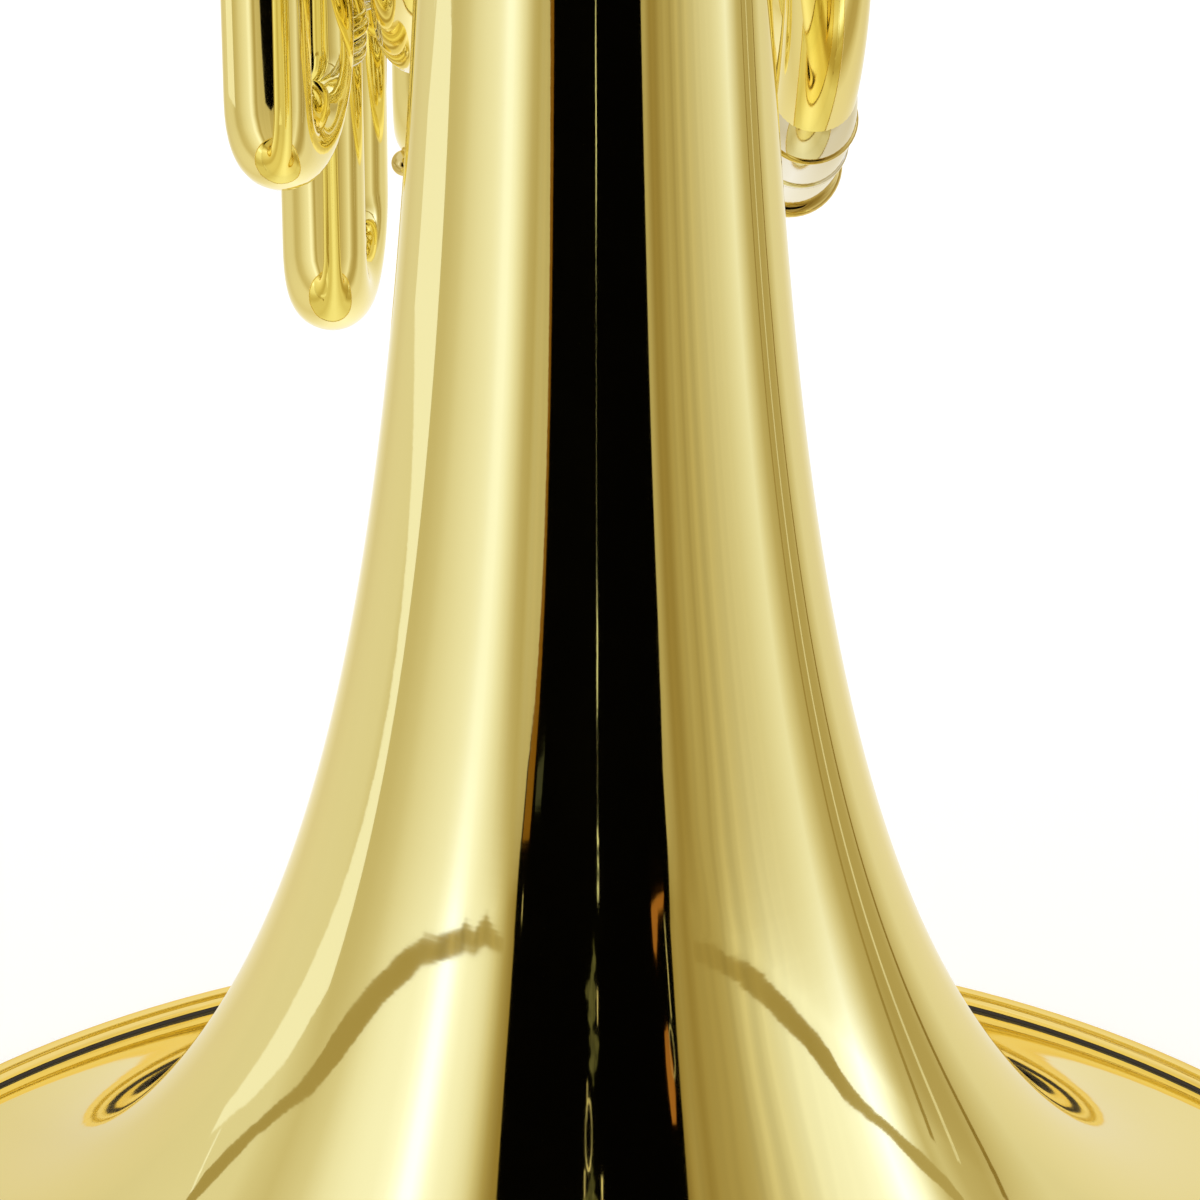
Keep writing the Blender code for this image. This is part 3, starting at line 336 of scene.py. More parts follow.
RIGHT_HEM = ([(37, 2.20, 0), (47.4, 2.01, 0), (49.7, 2.08, 0), (57.4, 1.83, 0), (62.8, 1.87, 0), (68.6, 1.95, 0),
              (74.2, 2.06, 0), (79.4, 2.27, 0.0), (82.2, 2.27, 0.016), (84.4, 2.27, 0.045), (86.9, 2.27, 0.062),
              (90.1, 2.27, 0.072), (98.8, 2.27, 0.079), (103.3, 2.27, 0.083), (107.3, 2.27, 0.102), (109.1, 2.27, 0.137)],
             [(37, 2.27, 0.033), (46.4, 2.27, 0.026), (54.9, 2.27, 0.031), (59.4, 2.27, 0.035), (63.6, 2.27, 0.043),
              (68.4, 2.27, 0.051), (73.2, 2.27, 0.060), (76.6, 2.27, 0.079), (79.9, 2.27, 0.099), (82.3, 2.27, 0.119),
              (91.9, 2.27, 0.118), (94.6, 2.27, 0.120), (98.9, 2.27, 0.146), (103.4, 2.27, 0.158), (109, 2.27, 0.19)])
left_shade = [(30, 0.46), (40, 0.40), (60, 0.38), (120, 0.40)]
right_shade = [(36, 0.34), (60, 0.37), (75, 0.36), (90, 0.44), (110, 0.45)]
hem = tent_cloth("hem_cloth", -1.0, left_shade, left_shade, (0.35, 50.0, 66.0))
far_hem = tent_cloth("far_hem_cloth", 1.0, right_shade, right_shade, (0.20, 50.0, 66.0))
for name, finish, (near, far), ends in (("left_hem", hem, LEFT_HEM, (-120, -33)), ("right_hem", far_hem, RIGHT_HEM, (37, 109))):
    band(name, finish, span(near, *ends) + (0, 0, 0.0012), span(far, *ends) + (0, 0, 0.0012))

# A bright sheet on the left of the ground, and narrow gaps and seams in the cloth
sheet = glow_of("bright_sheet", warm(0.93))
band("ground_sheet", sheet, span([(-122, 0.55, 0), (-110, 0.53, 0), (-97, 0.50, 0)], -122, -97) + (0, 0, 0.0010),
     span([(-122, 0.64, 0), (-118.8, 0.684, 0), (-113.6, 0.776, 0), (-107.2, 0.811, 0), (-103.2, 0.755, 0),
           (-99.5, 0.73, 0), (-98, 0.59, 0), (-97, 0.51, 0)], -122, -97) + (0, 0, 0.0010))
for name, light, turn, half, near, far in (("left_gap", 0.95, -119.8, 0.22, 0.70, 2.2), ("right_seam", 0.27, 121.6, 0.5, 0.40, 2.2),
                                           ("right_gap", 0.72, 113.6, 0.4, 0.36, 2.2), ("right_fold", 0.33, 108.4, 0.5, 0.38, 2.2)):
    rows = [[(turn + s * half, away, 0.0014) for away in np.linspace(near, far, 20)] for s in (-1, 1)]
    band(name, glow_of(name, warm(light), 0.4), *rows)

# The tent's opening towards the camera: a dark room, with a stand and a few brown and shiny things
ROOM_LEFT = [(4, 0.38, 0.0016), (-8, 0.42, 0.0016), (-16, 0.47, 0.0016), (-20, 0.54, 0.0016), (-22.5, 0.64, 0.0016),
             (-24.0, 0.75, 0.0016), (-28, 0.92, 0.0016), (-29.4, 1.24, 0.0016),
             (-29.6, 2.2, 0.0016), (-29.4, 2.25, 0.01), (-29.0, 2.25, 0.24), (-28.0, 2.25, 0.62), (-28, 2.25, 1.9)]
ROOM_RIGHT = [(8, 0.38, 0.0016), (18, 0.42, 0.0016), (25, 0.47, 0.0016), (29, 0.54, 0.0016), (30.8, 0.64, 0.0016),
              (31.0, 0.75, 0.0016), (29.8, 0.92, 0.0016), (29.9, 1.24, 0.0016),
              (29.0, 2.2, 0.0016), (29.0, 2.25, 0.01), (28.3, 2.25, 0.24), (27.5, 2.25, 0.62), (27.5, 2.25, 1.9)]
room_dark = Finish("room_dark")
gloom = skylight(room_dark, room_dark.node("ShaderNodeTexCoord", out="Object"))
room_dark.feed(room_dark.shader, {
    "Base Color": (0.0, 0.0, 0.0, 1.0), "Specular IOR Level": 0.0, "Emission Strength": 1.0, "Emission Color": room_dark.node(
        "ShaderNodeMix", {"data_type": "RGBA"}, {0: gloom, 6: (0.0006, 0.0005, 0.0003, 1.0), 7: (1.0, 1.0, 1.0, 1.0)}, out=2)})
band("dark_room", room_dark, ROOM_LEFT, ROOM_RIGHT)
ROOM_Y = 1.96


def on_room(turn, height):
    """A row of spots() a little in front of the dark room's curtain."""
    return (turn, ROOM_Y / math.cos(math.radians(turn)), height)


brown = glow_of("brown_wood", (0.34, 0.125, 0.022), 0.5, 5.0)
umber = glow_of("brown_frame", (0.20, 0.085, 0.008), 0.5, 3.0)
band("brown_left", umber, [(-23.6, 0.70, 0.003), (-27.6, 0.92, 0.003), (-28.6, 1.16, 0.003)],
     [(-22.6, 0.70, 0.003), (-24.8, 0.92, 0.003), (-25.8, 1.16, 0.003)])
band("grey_left", glow_of("grey_case", (0.045, 0.045, 0.025)), [(-23.6, 0.93, 0.003), (-24.0, 1.04, 0.003)],
     [(-20.8, 0.90, 0.003), (-21.6, 1.04, 0.003)])
band("brown_right", brown, [(24.6, 1.60, 0.003), (22.3, 1.75, 0.003), (22.0, 1.86, 0.003), on_room(22.2, 0.05)],
     [(27.4, 1.52, 0.003), (26.6, 1.76, 0.003), (24.6, 1.86, 0.003), on_room(23.0, 0.06)])
band("brown_low", brown, [on_room(24.2, 0.20), on_room(24.0, 0.26), on_room(24.2, 0.33), on_room(24.6, 0.40)],
     [on_room(25.4, 0.18), on_room(26.2, 0.26), on_room(26.3, 0.33), on_room(25.8, 0.40)])
edge = glow_of("shiny_edge", (0.75, 0.62, 0.30), 1.6, 9.0)
for name, turn, half, rows in (("left_edge", -27.0, 0.10, [(1.55, 0.004), (2.0, 0.004)]), ("right_edge", 26.9, 0.09, [(1.9, 0.004), (1.96, 0.16)])):
    band(name, edge, *[[(turn + s * half, away, height) for away, height in rows] for s in (-1, 1)])
for name, turn, height, wide, tall in (("right_hoop", 26.3, 0.235, 0.75, 0.055), ("left_hoop", -1.4, 0.42, 1.05, 0.085)):
    a = np.linspace(0.0, 2 * math.pi, 40)
    rows = [[on_room(turn + share * wide * math.cos(t), height + share * tall * math.sin(t)) for t in a] for share in (1.0, 0.88)]
    band(name, edge, *rows)
olive = glow_of("stand_metal", (0.075, 0.070, 0.028), 2.6, 34.0)
for name, low, high, wide in (("stand_low", 0.05, 0.31, 2.2), ("stand_high", 0.49, 0.95, 3.0)):
    height = np.linspace(low, high, 60)
    lean = -0.2 + 0.5 * np.sin(height * 31.0) + 0.3 * np.sin(height * 83.0 + 1.0)
    thick = wide * np.clip(np.sin(math.pi * (height - low) / (high - low)), 0.0, 1.0) ** 0.5 * (
        0.55 + 0.25 * np.sin(height * 57.0) + 0.20 * np.sin(height * 140.0 + 2.0))
    band(name, olive, *[[on_room(t, h) for t, h in zip(lean + s * thick, height)] for s in (-1, 1)])
rail = glow_of("stand_rail", (0.95, 0.90, 0.55), 1.2, 7.0)
distance = np.linspace(0.62, 1.93, 120)
sway = 1.9 + 0.10 * np.sin(distance * 41.0) + 0.07 * np.sin(distance * 97.0)
thick = 0.26 * np.clip(0.30 + 0.85 * np.sin(distance * 23.0 + 2.0 * np.sin(distance * 9.0)), 0.05, 1.0)
band("stand_line", rail, *[np.stack([sway + s * thick, distance, np.full(120, 0.003)], axis=1) for s in (-1, 1)])
for name, turn, low, high, half in (("stand_glint_0", -2.5, 0.50, 0.72, 0.14), ("stand_glint_1", 2.6, 0.52, 0.60, 0.22),
                                    ("stand_glint_2", 1.5, 0.13, 0.19, 0.16), ("stand_glint_3", -1.9, 0.30, 0.38, 0.10)):
    band(name, edge, *[[on_room(turn + s * half, low), on_room(turn + s * half * 0.4, high)] for s in (-1, 1)])

# Bell. A flare of yellow brass, spun on a mandrel and burnished, with its edge rolled over a
# wire. Clear lacquer covers it. Spinning leaves faint rings that make reflections waver.
RIM_R = (bell_high.x - bell_low.x) / 2
THROAT_R = 0.0175
FLARE_LENGTH = 0.2035
FLARE_POWER = 3.63
BELL_WALL = 0.0008
BELL_LENGTH = 0.300
WIRE_R = 0.0022
WIRE_Z = 0.0018


def unit(v):
    """The same directions at length one."""
    return v / np.linalg.norm(v, axis=-1, keepdims=True)


def line(start, end, count=2):
    """Points along a straight run: start + t (end - start)."""
    return start + (end - start) * np.linspace(0.0, 1.0, count)[:, None]


def carry(path, stations, sides=40, square_to=(1.0, 0.0, 0.0), loop=False):
    """A round profile carried along a path, as one sheet.

    stations are (distance along the path, radius). Each ring is centre + radius (cos a side +
    sin a up), where side is square to the path and to square_to. With loop the last ring joins the
    first, as the two walls of an open tube do. u is the length along the profile, v the turn.
    """
    run = np.concatenate([[0.0], np.cumsum(np.linalg.norm(np.diff(path, axis=0), axis=1))])
    ways = np.gradient(path, run, axis=0)
    distance, radius = np.array(stations, float).T
    centre = np.stack([np.interp(distance, run, path[:, i]) for i in range(3)], axis=1)
    ahead = unit(np.stack([np.interp(distance, run, ways[:, i]) for i in range(3)], axis=1))
    side = unit(np.cross(ahead, square_to))
    up = np.cross(ahead, side)
    a = np.linspace(0.0, 2 * math.pi, sides, endpoint=False)[None, :, None]
    points = centre[:, None] + radius[:, None, None] * (np.cos(a) * side[:, None] + np.sin(a) * up[:, None])
    if loop:
        distance, radius = np.append(distance, distance[0]), np.append(radius, radius[0])
    along = np.concatenate([[0.0], np.cumsum(np.hypot(np.diff(distance), np.diff(radius)))])
    uv = np.stack(np.meshgrid(along, np.linspace(0, 1, sides + 1), indexing="ij"), axis=-1)
    return grid(points, uv, loop=loop, ends=not loop)


def turned(profile, origin, axis, sides=48, loop=False):
    """A turned piece: profile is (height along the axis, radius), kept in its order."""
    heights = [h for h, _ in profile]
    low, high = min(heights) - 0.001, max(heights) + 0.001
    path = np.array([origin + axis * low, origin + axis * high])
    other = (1.0, 0.0, 0.0) if abs(axis[0]) < 0.9 else (0.0, 1.0, 0.0)
    return carry(path, [(h - low, r) for h, r in profile], sides, other, loop)


def piece(name, body, finish, sheets, stands_for=()):
    """A finished piece of the horn: it rides on a body and stands for CAD nodes."""
    mesh = mesh_of(name, sheets, FROM_BELL)
    shape = bmesh.new()
    shape.from_mesh(mesh)
    bmesh.ops.recalc_face_normals(shape, faces=shape.faces)
    shape.to_mesh(mesh)
    shape.free()
    mesh.shade_smooth()
    mesh.set_sharp_from_angle(angle=math.radians(38))
    mesh.materials.append(finish.material)
    thing = bpy.data.objects.new(name, mesh)
    bpy.context.collection.objects.link(thing)
    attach(thing, body)
    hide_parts(*stands_for)
    return thing


def bell_radius(z):
    """The flare law: throat radius plus a power of the distance from the rim."""
    return THROAT_R + (RIM_R - THROAT_R) * (FLARE_LENGTH / (z + FLARE_LENGTH)) ** FLARE_POWER


def spun(z):
    """The bell's outside as (height, radius) pairs for an array of heights."""
    return np.stack([z, bell_radius(z)], axis=1)


def polished(name, slot, bright, deep, gloss, wave, drawn, edge=(1.0, 0.95, 0.78), coat=0.25):
    """Polished metal under clear lacquer.

    drawn is (turns, lengths): how many noise features there are round the piece and along a metre
    of it, so that the fine lines of the drawing or spinning run the right way. wave is the height
    of the slow waves that burnishing leaves. edge is the metal's colour where it is seen at a slant.
    """
    metal = Finish(name, slot)
    mark = metal.node("ShaderNodeTexCoord", out="UV")
    along = metal.node("ShaderNodeSeparateXYZ", sockets={0: mark}, out=0)
    turn = metal.node("ShaderNodeSeparateXYZ", sockets={0: mark}, out=1) * (2 * math.pi)
    turns, lengths = drawn
    lines = metal.node("ShaderNodeCombineXYZ", sockets={
        0: turn.maths("COSINE", turn) * (turns / 6.0), 1: turn.maths("SINE", turn) * (turns / 6.0), 2: along * lengths})
    fine = metal.node("ShaderNodeTexNoise", sockets={"Vector": lines, "Scale": 1.0, "Detail": 3.0})
    place = metal.node("ShaderNodeTexCoord", out="Object")
    cloud = metal.node("ShaderNodeTexNoise", sockets={"Vector": place, "Scale": 34.0, "Detail": 3.0})
    smear = metal.node("ShaderNodeTexNoise", sockets={"Vector": place, "Scale": 110.0, "Detail": 5.0,
                                                      "Distortion": 1.2})
    tone = metal.node("ShaderNodeMix", {"data_type": "RGBA"},
                      {0: cloud * 0.7 + fine * 0.3, 6: (*deep, 1.0), 7: (*bright, 1.0)}, out=2)
    bump = metal.node("ShaderNodeBump", sockets={"Height": cloud * wave[0] + fine * wave[1], "Distance": 0.001,
                                                 "Strength": 1.0})
    metal.feed(metal.shader, {
        "Base Color": tone, "Metallic": 1.0, "Roughness": gloss + (smear - 0.5) * (gloss * 0.9), "Normal": bump,
        "Coat Weight": coat, "Coat Roughness": 0.02, "Coat IOR": 1.45, "Specular Tint": (*edge, 1.0)})
    return metal


spun_brass = polished("spun_brass", "lacquered_brass", (0.98, 0.92, 0.50), (0.96, 0.89, 0.46), 0.035,
                       (0.010, 0.0060), (1.2, 190.0))
heights = BELL_LENGTH * np.linspace(1.0, 0.0, 150) ** 1.7
outside = spun(heights[heights > 0.0023])
wire_x = RIM_R - WIRE_R
a = np.radians(np.linspace(198.0, -54.9, 32))
wire = np.stack([WIRE_Z + WIRE_R * np.sin(a), wire_x + WIRE_R * np.cos(a)], axis=1)
wire[-1, 0] = 0.0
tuck = [(0.0016, wire_x - 0.0010), (0.0008, wire_x - 0.0010)]
heights = heights[heights > 0.0034][::-3]
slope = (bell_radius(heights + 0.0005) - bell_radius(heights - 0.0005)) / 0.001
inside = np.stack([heights, bell_radius(heights) - BELL_WALL * np.hypot(1.0, slope)], axis=1)
profile = np.concatenate([outside, tuck, inside])
piece("bell_flare", "root", spun_brass, [turned(profile, vec(0, 0, 0), vec(0, 0, 1), 192, loop=True)], ["bell", "bell_throat"])

# Rolled rim. The edge of the flare is rolled over a steel wire until it closes. The roll gets a deeper gold than
# the flare, which is painted light, and a dark ring lies in the groove between flare and roll, which is painted shade.
# Deeper gold than the flare's brass: painted light, for the saturated gold where the roll and the flare mirror each
# other.
roll_painted_gold = polished("roll_painted_gold", "lacquered_brass", (0.91, 0.70, 0.22), (0.85, 0.63, 0.18), 0.04,
                      (0.006, 0.0040), (1.2, 400.0), edge=(1.0, 0.82, 0.40))
roll = np.concatenate([wire, [(0.0, wire_x - WIRE_R * math.cos(math.radians(54.9)))]])
piece("rim_roll", "root", roll_painted_gold, [turned(roll, vec(0, 0, 0), vec(0, 0, 1), 192, loop=True)])
# A near-black ring laid in the groove between flare and roll: painted shade, where little light reaches the groove.
seam = Finish("groove_painted_shade")
place = seam.node("ShaderNodeTexCoord", out="Object")
groove_mottle = seam.node("ShaderNodeTexNoise", sockets={"Vector": place, "Scale": 420.0, "Detail": 4.0})
seam.feed(seam.shader, {"Base Color": seam.node("ShaderNodeMix", {"data_type": "RGBA"}, {
    0: groove_mottle, 6: (0.004, 0.002, 0.0006, 1.0), 7: (0.030, 0.015, 0.003, 1.0)}, out=2), "Roughness": groove_mottle * 0.3 + 0.4,
    "Normal": seam.node("ShaderNodeBump", sockets={"Height": groove_mottle, "Distance": 0.00004})})
seat_x = wire[0, 1] - 0.00030
profile = [(0.00225, seat_x - 0.00046), (0.00245, seat_x - 0.00014), (0.00245, seat_x + 0.00016), (0.0022, seat_x + 0.00022),
           (0.0012, seat_x + 0.00012), (0.0012, seat_x - 0.00010)]
piece("rim_groove_shade", "root", seam, [turned(profile, vec(0, 0, 0), vec(0, 0, 1), 192, loop=True)])

# Bell ferrule. A turned ring of nickel silver, soft-soldered over the joint of bell and tail.


def bead(middle, half, base, rise):
    """Stations of a rounded ring on a tube: half an ellipse over the tube's radius."""
    t = np.linspace(0.0, math.pi, 7)
    return np.stack([middle - half * np.cos(t), base + rise * np.sin(t)], axis=1)


nickel = polished("polished_nickel", "nickel_silver", (0.83, 0.80, 0.73), (0.76, 0.73, 0.66), 0.07, (0.004, 0.0020), (0.8, 500.0))
low, high = BELL_LENGTH - 0.012, BELL_LENGTH + 0.012
bore = bell_radius(low) + 0.0003
ring = bore + 0.0009
profile = np.concatenate([[(low, bore), (low, ring)], bead(low + 0.0016, 0.0014, ring, 0.0009),
                          bead(low + 0.0044, 0.0007, ring, 0.0005), bead(high - 0.0044, 0.0007, ring, 0.0005),
                          bead(high - 0.0016, 0.0014, ring, 0.0009), [(high, ring), (high, bore)]])
piece("bell_ferrule_ring", "root", nickel, [turned(profile, vec(0, 0, 0), vec(0, 0, 1), 96, loop=True)],
      ["bell_ferrule"])

# Bell tail. A tapered tube of yellow brass, drawn and bent to the ring, that runs from the bell
# over the top, down the far side and along the bottom to the change valve.
RING_R = 0.150
RING_Z = 0.320
GAP = 0.0003
LEAD = 0.0015
DECK_X = 0.016
PORT_Y = 0.0115
VALVE_Z = 0.322
VALVE_FIRST_Y = 0.066
VALVE_STEP = 0.044
STUB_REACH = 0.020
TAIL_END_R = 0.0070
TAIL_TAPER = 0.85
ACROSS, BACK, UP = np.eye(3)


def joined(*runs):
    """One path from several runs, without doubled points."""
    points = np.concatenate(runs)
    apart = np.linalg.norm(np.diff(points, axis=0), axis=1) > 0.00005
    return points[np.concatenate([[True], apart])]


def length_of(path):
    """The length of a path."""
    return float(np.linalg.norm(np.diff(path, axis=0), axis=1).sum())


def even(start, end, radius, step=0.003):
    """Stations spread evenly over a stretch; radius is a number or a function of the distance."""
    distance = np.linspace(start, end, max(2, int((end - start) / step) + 1))
    return np.stack([distance, radius(distance) if callable(radius) else np.full(len(distance), radius)], axis=1)


def round_ring(radius, start, end, x_start, x_end):
    """Points round the ring, angles in degrees from +Y upwards, with a smooth drift in X."""
    t = np.linspace(0.0, 1.0, int(abs(end - start) / 1.5) + 2)
    a = np.radians(start + (end - start) * t)
    x = x_start + (x_end - x_start) * t * t * (3.0 - 2.0 * t)
    return np.stack([x, RING_R + radius * np.cos(a), RING_Z + radius * np.sin(a)], axis=1)


def bridge(start, leaving, end, arriving, reach):
    """A cubic curve between two points, with a short straight lead at both ends."""
    t = np.linspace(0.0, 1.0, 36)[:, None]
    a, b = unit(leaving), unit(arriving)
    first, last = start + a * LEAD, end - b * LEAD
    one = 2 * t ** 3 - 3 * t ** 2 + 1
    curve = (one * first + (t ** 3 - 2 * t ** 2 + t) * 3 * reach * a + (1 - one) * last
             + (t ** 3 - t ** 2) * 3 * reach * b)
    return np.concatenate([[start], curve, [end]])


def valve_y(place):
    """Y of a valve's axis, counted from the change valve."""
    return VALVE_FIRST_Y + place * VALVE_STEP


drawn_brass = polished("drawn_brass", "lacquered_brass", (0.98, 0.88, 0.42), (0.95, 0.85, 0.38), 0.05,
                        (0.006, 0.0016), (14.0, 30.0))
PORT_END = VALVE_Z - STUB_REACH - GAP
tail_port = vec(DECK_X, valve_y(0) + PORT_Y, PORT_END)
tail_turn = vec(DECK_X, tail_port[1], RING_Z - RING_R + 0.058)
tail_path = joined(line(vec(0, 0, BELL_LENGTH + GAP), vec(0, 0, RING_Z), 8),
                   round_ring(RING_R, 180.0, -90.0, 0.0, 0.0),
                   bridge(vec(0, RING_R, RING_Z - RING_R), -BACK, tail_turn, UP, 0.040),
                   line(tail_turn, tail_port, 12))
TAIL_LENGTH = length_of(tail_path)


def tail_radius(distance):
    """The tail's radius after a length of run from the bell."""
    start = bell_radius(BELL_LENGTH)
    return TAIL_END_R + (start - TAIL_END_R) * np.maximum(0.0, 1.0 - distance / TAIL_LENGTH) ** TAIL_TAPER


piece("bell_tail", "root", drawn_brass, [carry(tail_path, even(0.0, TAIL_LENGTH, tail_radius), 64)], ["bell_branch"])


def ferrule(name, path, start, end, radius, sides=44):
    """A nickel silver ferrule over a tube, with a rounded ring at both ends."""
    skirt = radius + 0.0006
    stations = np.concatenate([[(start, radius)], bead(start + 0.0010, 0.0010, skirt - 0.0002, 0.0007),
                               even(start + 0.0022, end - 0.0022, skirt, 0.0025),
                               bead(end - 0.0010, 0.0010, skirt - 0.0002, 0.0007), [(end, radius)]])
    return piece(name, "root", nickel, [carry(path, stations, sides, loop=True)])


ferrule("tail_ferrule", tail_path, TAIL_LENGTH - 0.016, TAIL_LENGTH - 0.0006, TAIL_END_R + 0.0002)
for number, share in enumerate((0.30, 0.60)):
    place = TAIL_LENGTH * share
    ferrule(f"tail_joint_{number}", tail_path, place - 0.011, place + 0.011, float(tail_radius(place - 0.011)) + 0.0002)

# Mouthpipe. A tapered tube of yellow brass: straight from its receiver, once round the ring, and
# up beside the bell to the main tuning slide. A nickel silver ferrule covers its low joint.
PIPE_RING_R = RING_R - 0.0017
PIPE_X = 0.0245
PIPE_OUT_X = 0.0333
PIPE_OUT_Y = RING_R - PIPE_RING_R
PIPE_TURNS_OUT = -90.0
PIPE_IS_OUT = -150.0
PIPE_FERRULE = (-122.5, -134.5)
PIPE_SMALL_R = 0.0050
PIPE_LARGE_R = 0.0062
PIPE_STRAIGHT = 0.240
PIPE_TANGENT = 95.0
TUNING_START = 0.352
tangent = math.radians(PIPE_TANGENT)
pipe_out = vec(0, -math.sin(tangent), math.cos(tangent))
pipe_foot = vec(PIPE_X, RING_R + PIPE_RING_R * math.cos(tangent), RING_Z + PIPE_RING_R * math.sin(tangent))
pipe_up = vec(PIPE_OUT_X, PIPE_OUT_Y, TUNING_START)
pipe_path = joined(line(pipe_foot + pipe_out * PIPE_STRAIGHT, pipe_foot, 40),
                   round_ring(PIPE_RING_R, PIPE_TANGENT, PIPE_TURNS_OUT, PIPE_X, PIPE_X),
                   round_ring(PIPE_RING_R, PIPE_TURNS_OUT, PIPE_IS_OUT, PIPE_X, PIPE_OUT_X),
                   round_ring(PIPE_RING_R, PIPE_IS_OUT, -180.0, PIPE_OUT_X, PIPE_OUT_X),
                   line(pipe_up - UP * 0.020, pipe_up, 8))


def pipe_radius(distance):
    """The mouthpipe's radius after a length of run from its receiver."""
    return PIPE_SMALL_R + (PIPE_LARGE_R - PIPE_SMALL_R) * np.minimum(1.0, distance / 0.6)


piece("mouthpipe_tube", "root", drawn_brass, [carry(pipe_path, even(0.0, length_of(pipe_path), pipe_radius), 44)],
      ["mouthpipe"])
angles = np.degrees(np.arctan2(pipe_path[:, 2] - RING_Z, pipe_path[:, 1] - RING_R))
low_half = (angles < -100.0) & (pipe_path[:, 2] < RING_Z)
run = np.concatenate([[0.0], np.cumsum(np.linalg.norm(np.diff(pipe_path, axis=0), axis=1))])
low, high = np.interp([-a for a in PIPE_FERRULE], -angles[low_half], run[low_half])
skirt, ridge = PIPE_LARGE_R + 0.0008, (low + high) / 2 + 0.0030
profile = np.concatenate([
    [(low, PIPE_LARGE_R + 0.0002)], even(low + 0.0004, ridge - 0.002, skirt, 0.0025),
    bead(ridge, 0.0010, skirt, 0.0003), even(ridge + 0.002, high + 0.0010, skirt, 0.0025),
    [(high + 0.0070, PIPE_LARGE_R + 0.0003), (high + 0.0095, PIPE_LARGE_R - 0.0001)]])
piece("mouthpipe_low_ferrule", "root", nickel, [carry(pipe_path, profile, 48, loop=True)], ["mouthpipe_ferrule"])
# Brass darker than the tubes, for the ferrule's end rings and the pull knob: painted shade, for the dark gold-brown
# they show.
dark_brass_painted_shade = polished("dark_brass_painted_shade", "lacquered_brass", (0.74, 0.60, 0.24), (0.64, 0.50, 0.18), 0.06,
                      (0.004, 0.004), (2.0, 500.0), edge=(1.0, 0.88, 0.52))
piece("mouthpipe_low_ferrule_rings", "root", dark_brass_painted_shade, [
    carry(pipe_path, bead(low + 0.0020, 0.0019, skirt - 0.0002, 0.0015), 48, loop=True),
    carry(pipe_path, bead(high - 0.0007, 0.0007, skirt - 0.0002, 0.0006), 48, loop=True)])

# Receiver and mouthpiece. The receiver is nickel silver, soldered over the mouthpipe's end. The
# mouthpiece is silver plate, turned in one piece, and is held by its tapered shank.
RECEIVER_LENGTH = 0.045
RECEIVER_R = 0.0068
SHANK_R = 0.0036
SHANK_DEPTH = 0.018
CUP_R = 0.0128
MOUTHPIECE_LENGTH = 0.064
pipe_end = pipe_foot + pipe_out * (PIPE_STRAIGHT + GAP)
long, collar = RECEIVER_LENGTH, RECEIVER_R + 0.0012
profile = np.concatenate([
    [(0.0, PIPE_SMALL_R - 0.0006), (0.0, RECEIVER_R - 0.0004), (0.0004, RECEIVER_R)],
    bead(0.0045, 0.0016, RECEIVER_R, 0.0010), bead(0.0085, 0.0008, RECEIVER_R, 0.0005),
    [(0.011, RECEIVER_R), (long - 0.010, RECEIVER_R - 0.0004)], bead(long - 0.0075, 0.0007, RECEIVER_R - 0.0002, 0.0005),
    [(long - 0.0050, RECEIVER_R), (long - 0.0044, collar - 0.0003), (long - 0.0038, collar), (long - 0.0006, collar),
     (long, collar - 0.0006), (long, SHANK_R + 0.0008), (long - SHANK_DEPTH - 0.002, SHANK_R + 0.0004),
     (long - SHANK_DEPTH - 0.002, PIPE_SMALL_R - 0.0018)]])
piece("receiver", "root", nickel, [turned(profile, pipe_end, pipe_out, 56, loop=True)], ["mouthpipe_receiver"])

plate = polished("polished_silver", "silver_plate", (0.93, 0.92, 0.89), (0.87, 0.86, 0.83), 0.06, (0.002, 0.0010), (0.8, 900.0), (1.0, 1.0, 1.0), 0.0)
seat = pipe_end + pipe_out * (long - SHANK_DEPTH)
m = MOUTHPIECE_LENGTH
shank = [(0.0, SHANK_R - 0.0008), (0.0, SHANK_R - 0.0002), (0.0003, SHANK_R), (SHANK_DEPTH, SHANK_R + 0.0003),
         (SHANK_DEPTH + 0.012, 0.0044)]
t = np.linspace(0.0, 1.0, 22)
bowl = np.stack([SHANK_DEPTH + 0.012 + t * (m - 0.0035 - SHANK_DEPTH - 0.012),
                 0.0044 + (CUP_R - 0.0010 - 0.0044) * t ** 1.9], axis=1)[1:]
a = np.radians(np.linspace(-20.0, 180.0, 14))
rim = np.stack([m - 0.0014 + 0.0014 * np.sin(a), CUP_R - 0.0019 + 0.0019 * np.cos(a)], axis=1)
cup = np.stack([m - 0.0016 - 0.0244 * t, 0.0026 + (CUP_R - 0.0038 - 0.0026) * (1.0 - t ** 1.7)], axis=1)
piece("mouthpiece_cup", "mouthpiece", plate,
      [turned(np.concatenate([shank, bowl, rim, cup, [(m - 0.034, 0.0022)]]), seat, pipe_out, 72, loop=True)],
      ["mouthpiece"])

# Valves. Each casing is brass tube with its ports and the arches to its neighbour silver-soldered
# on, closed by a back plate. The rotor turns inside it. A screwed, knurled cap covers the end.
VALVES = ["change", "third", "second", "first"]
CASING_R = 0.017
CASING_HALF = 0.030
CASING_BORE_R = 0.0143
BACK_PLATE = 0.004
SHAFT_BORE_R = 0.0032
CAP_R = 0.0178
CAP_HEIGHT = 0.0045
STUB_R = 0.0070
TUBE_R = 0.0066
turned_brass = polished("turned_brass", "lacquered_brass", (0.98, 0.88, 0.42), (0.95, 0.85, 0.38), 0.06,
                         (0.003, 0.0030), (0.8, 700.0))


def stub(centre, way, start, end):
    """A short port tube with a rounded ring at its open end, as one sheet."""
    run = end - start
    path = line(centre + way * start, centre + way * end, 8)
    stations = np.concatenate([[(0.0, STUB_R)], bead(run - 0.0018, 0.0014, STUB_R, 0.0007), [(run, STUB_R)]])
    return carry(path, stations, 40)


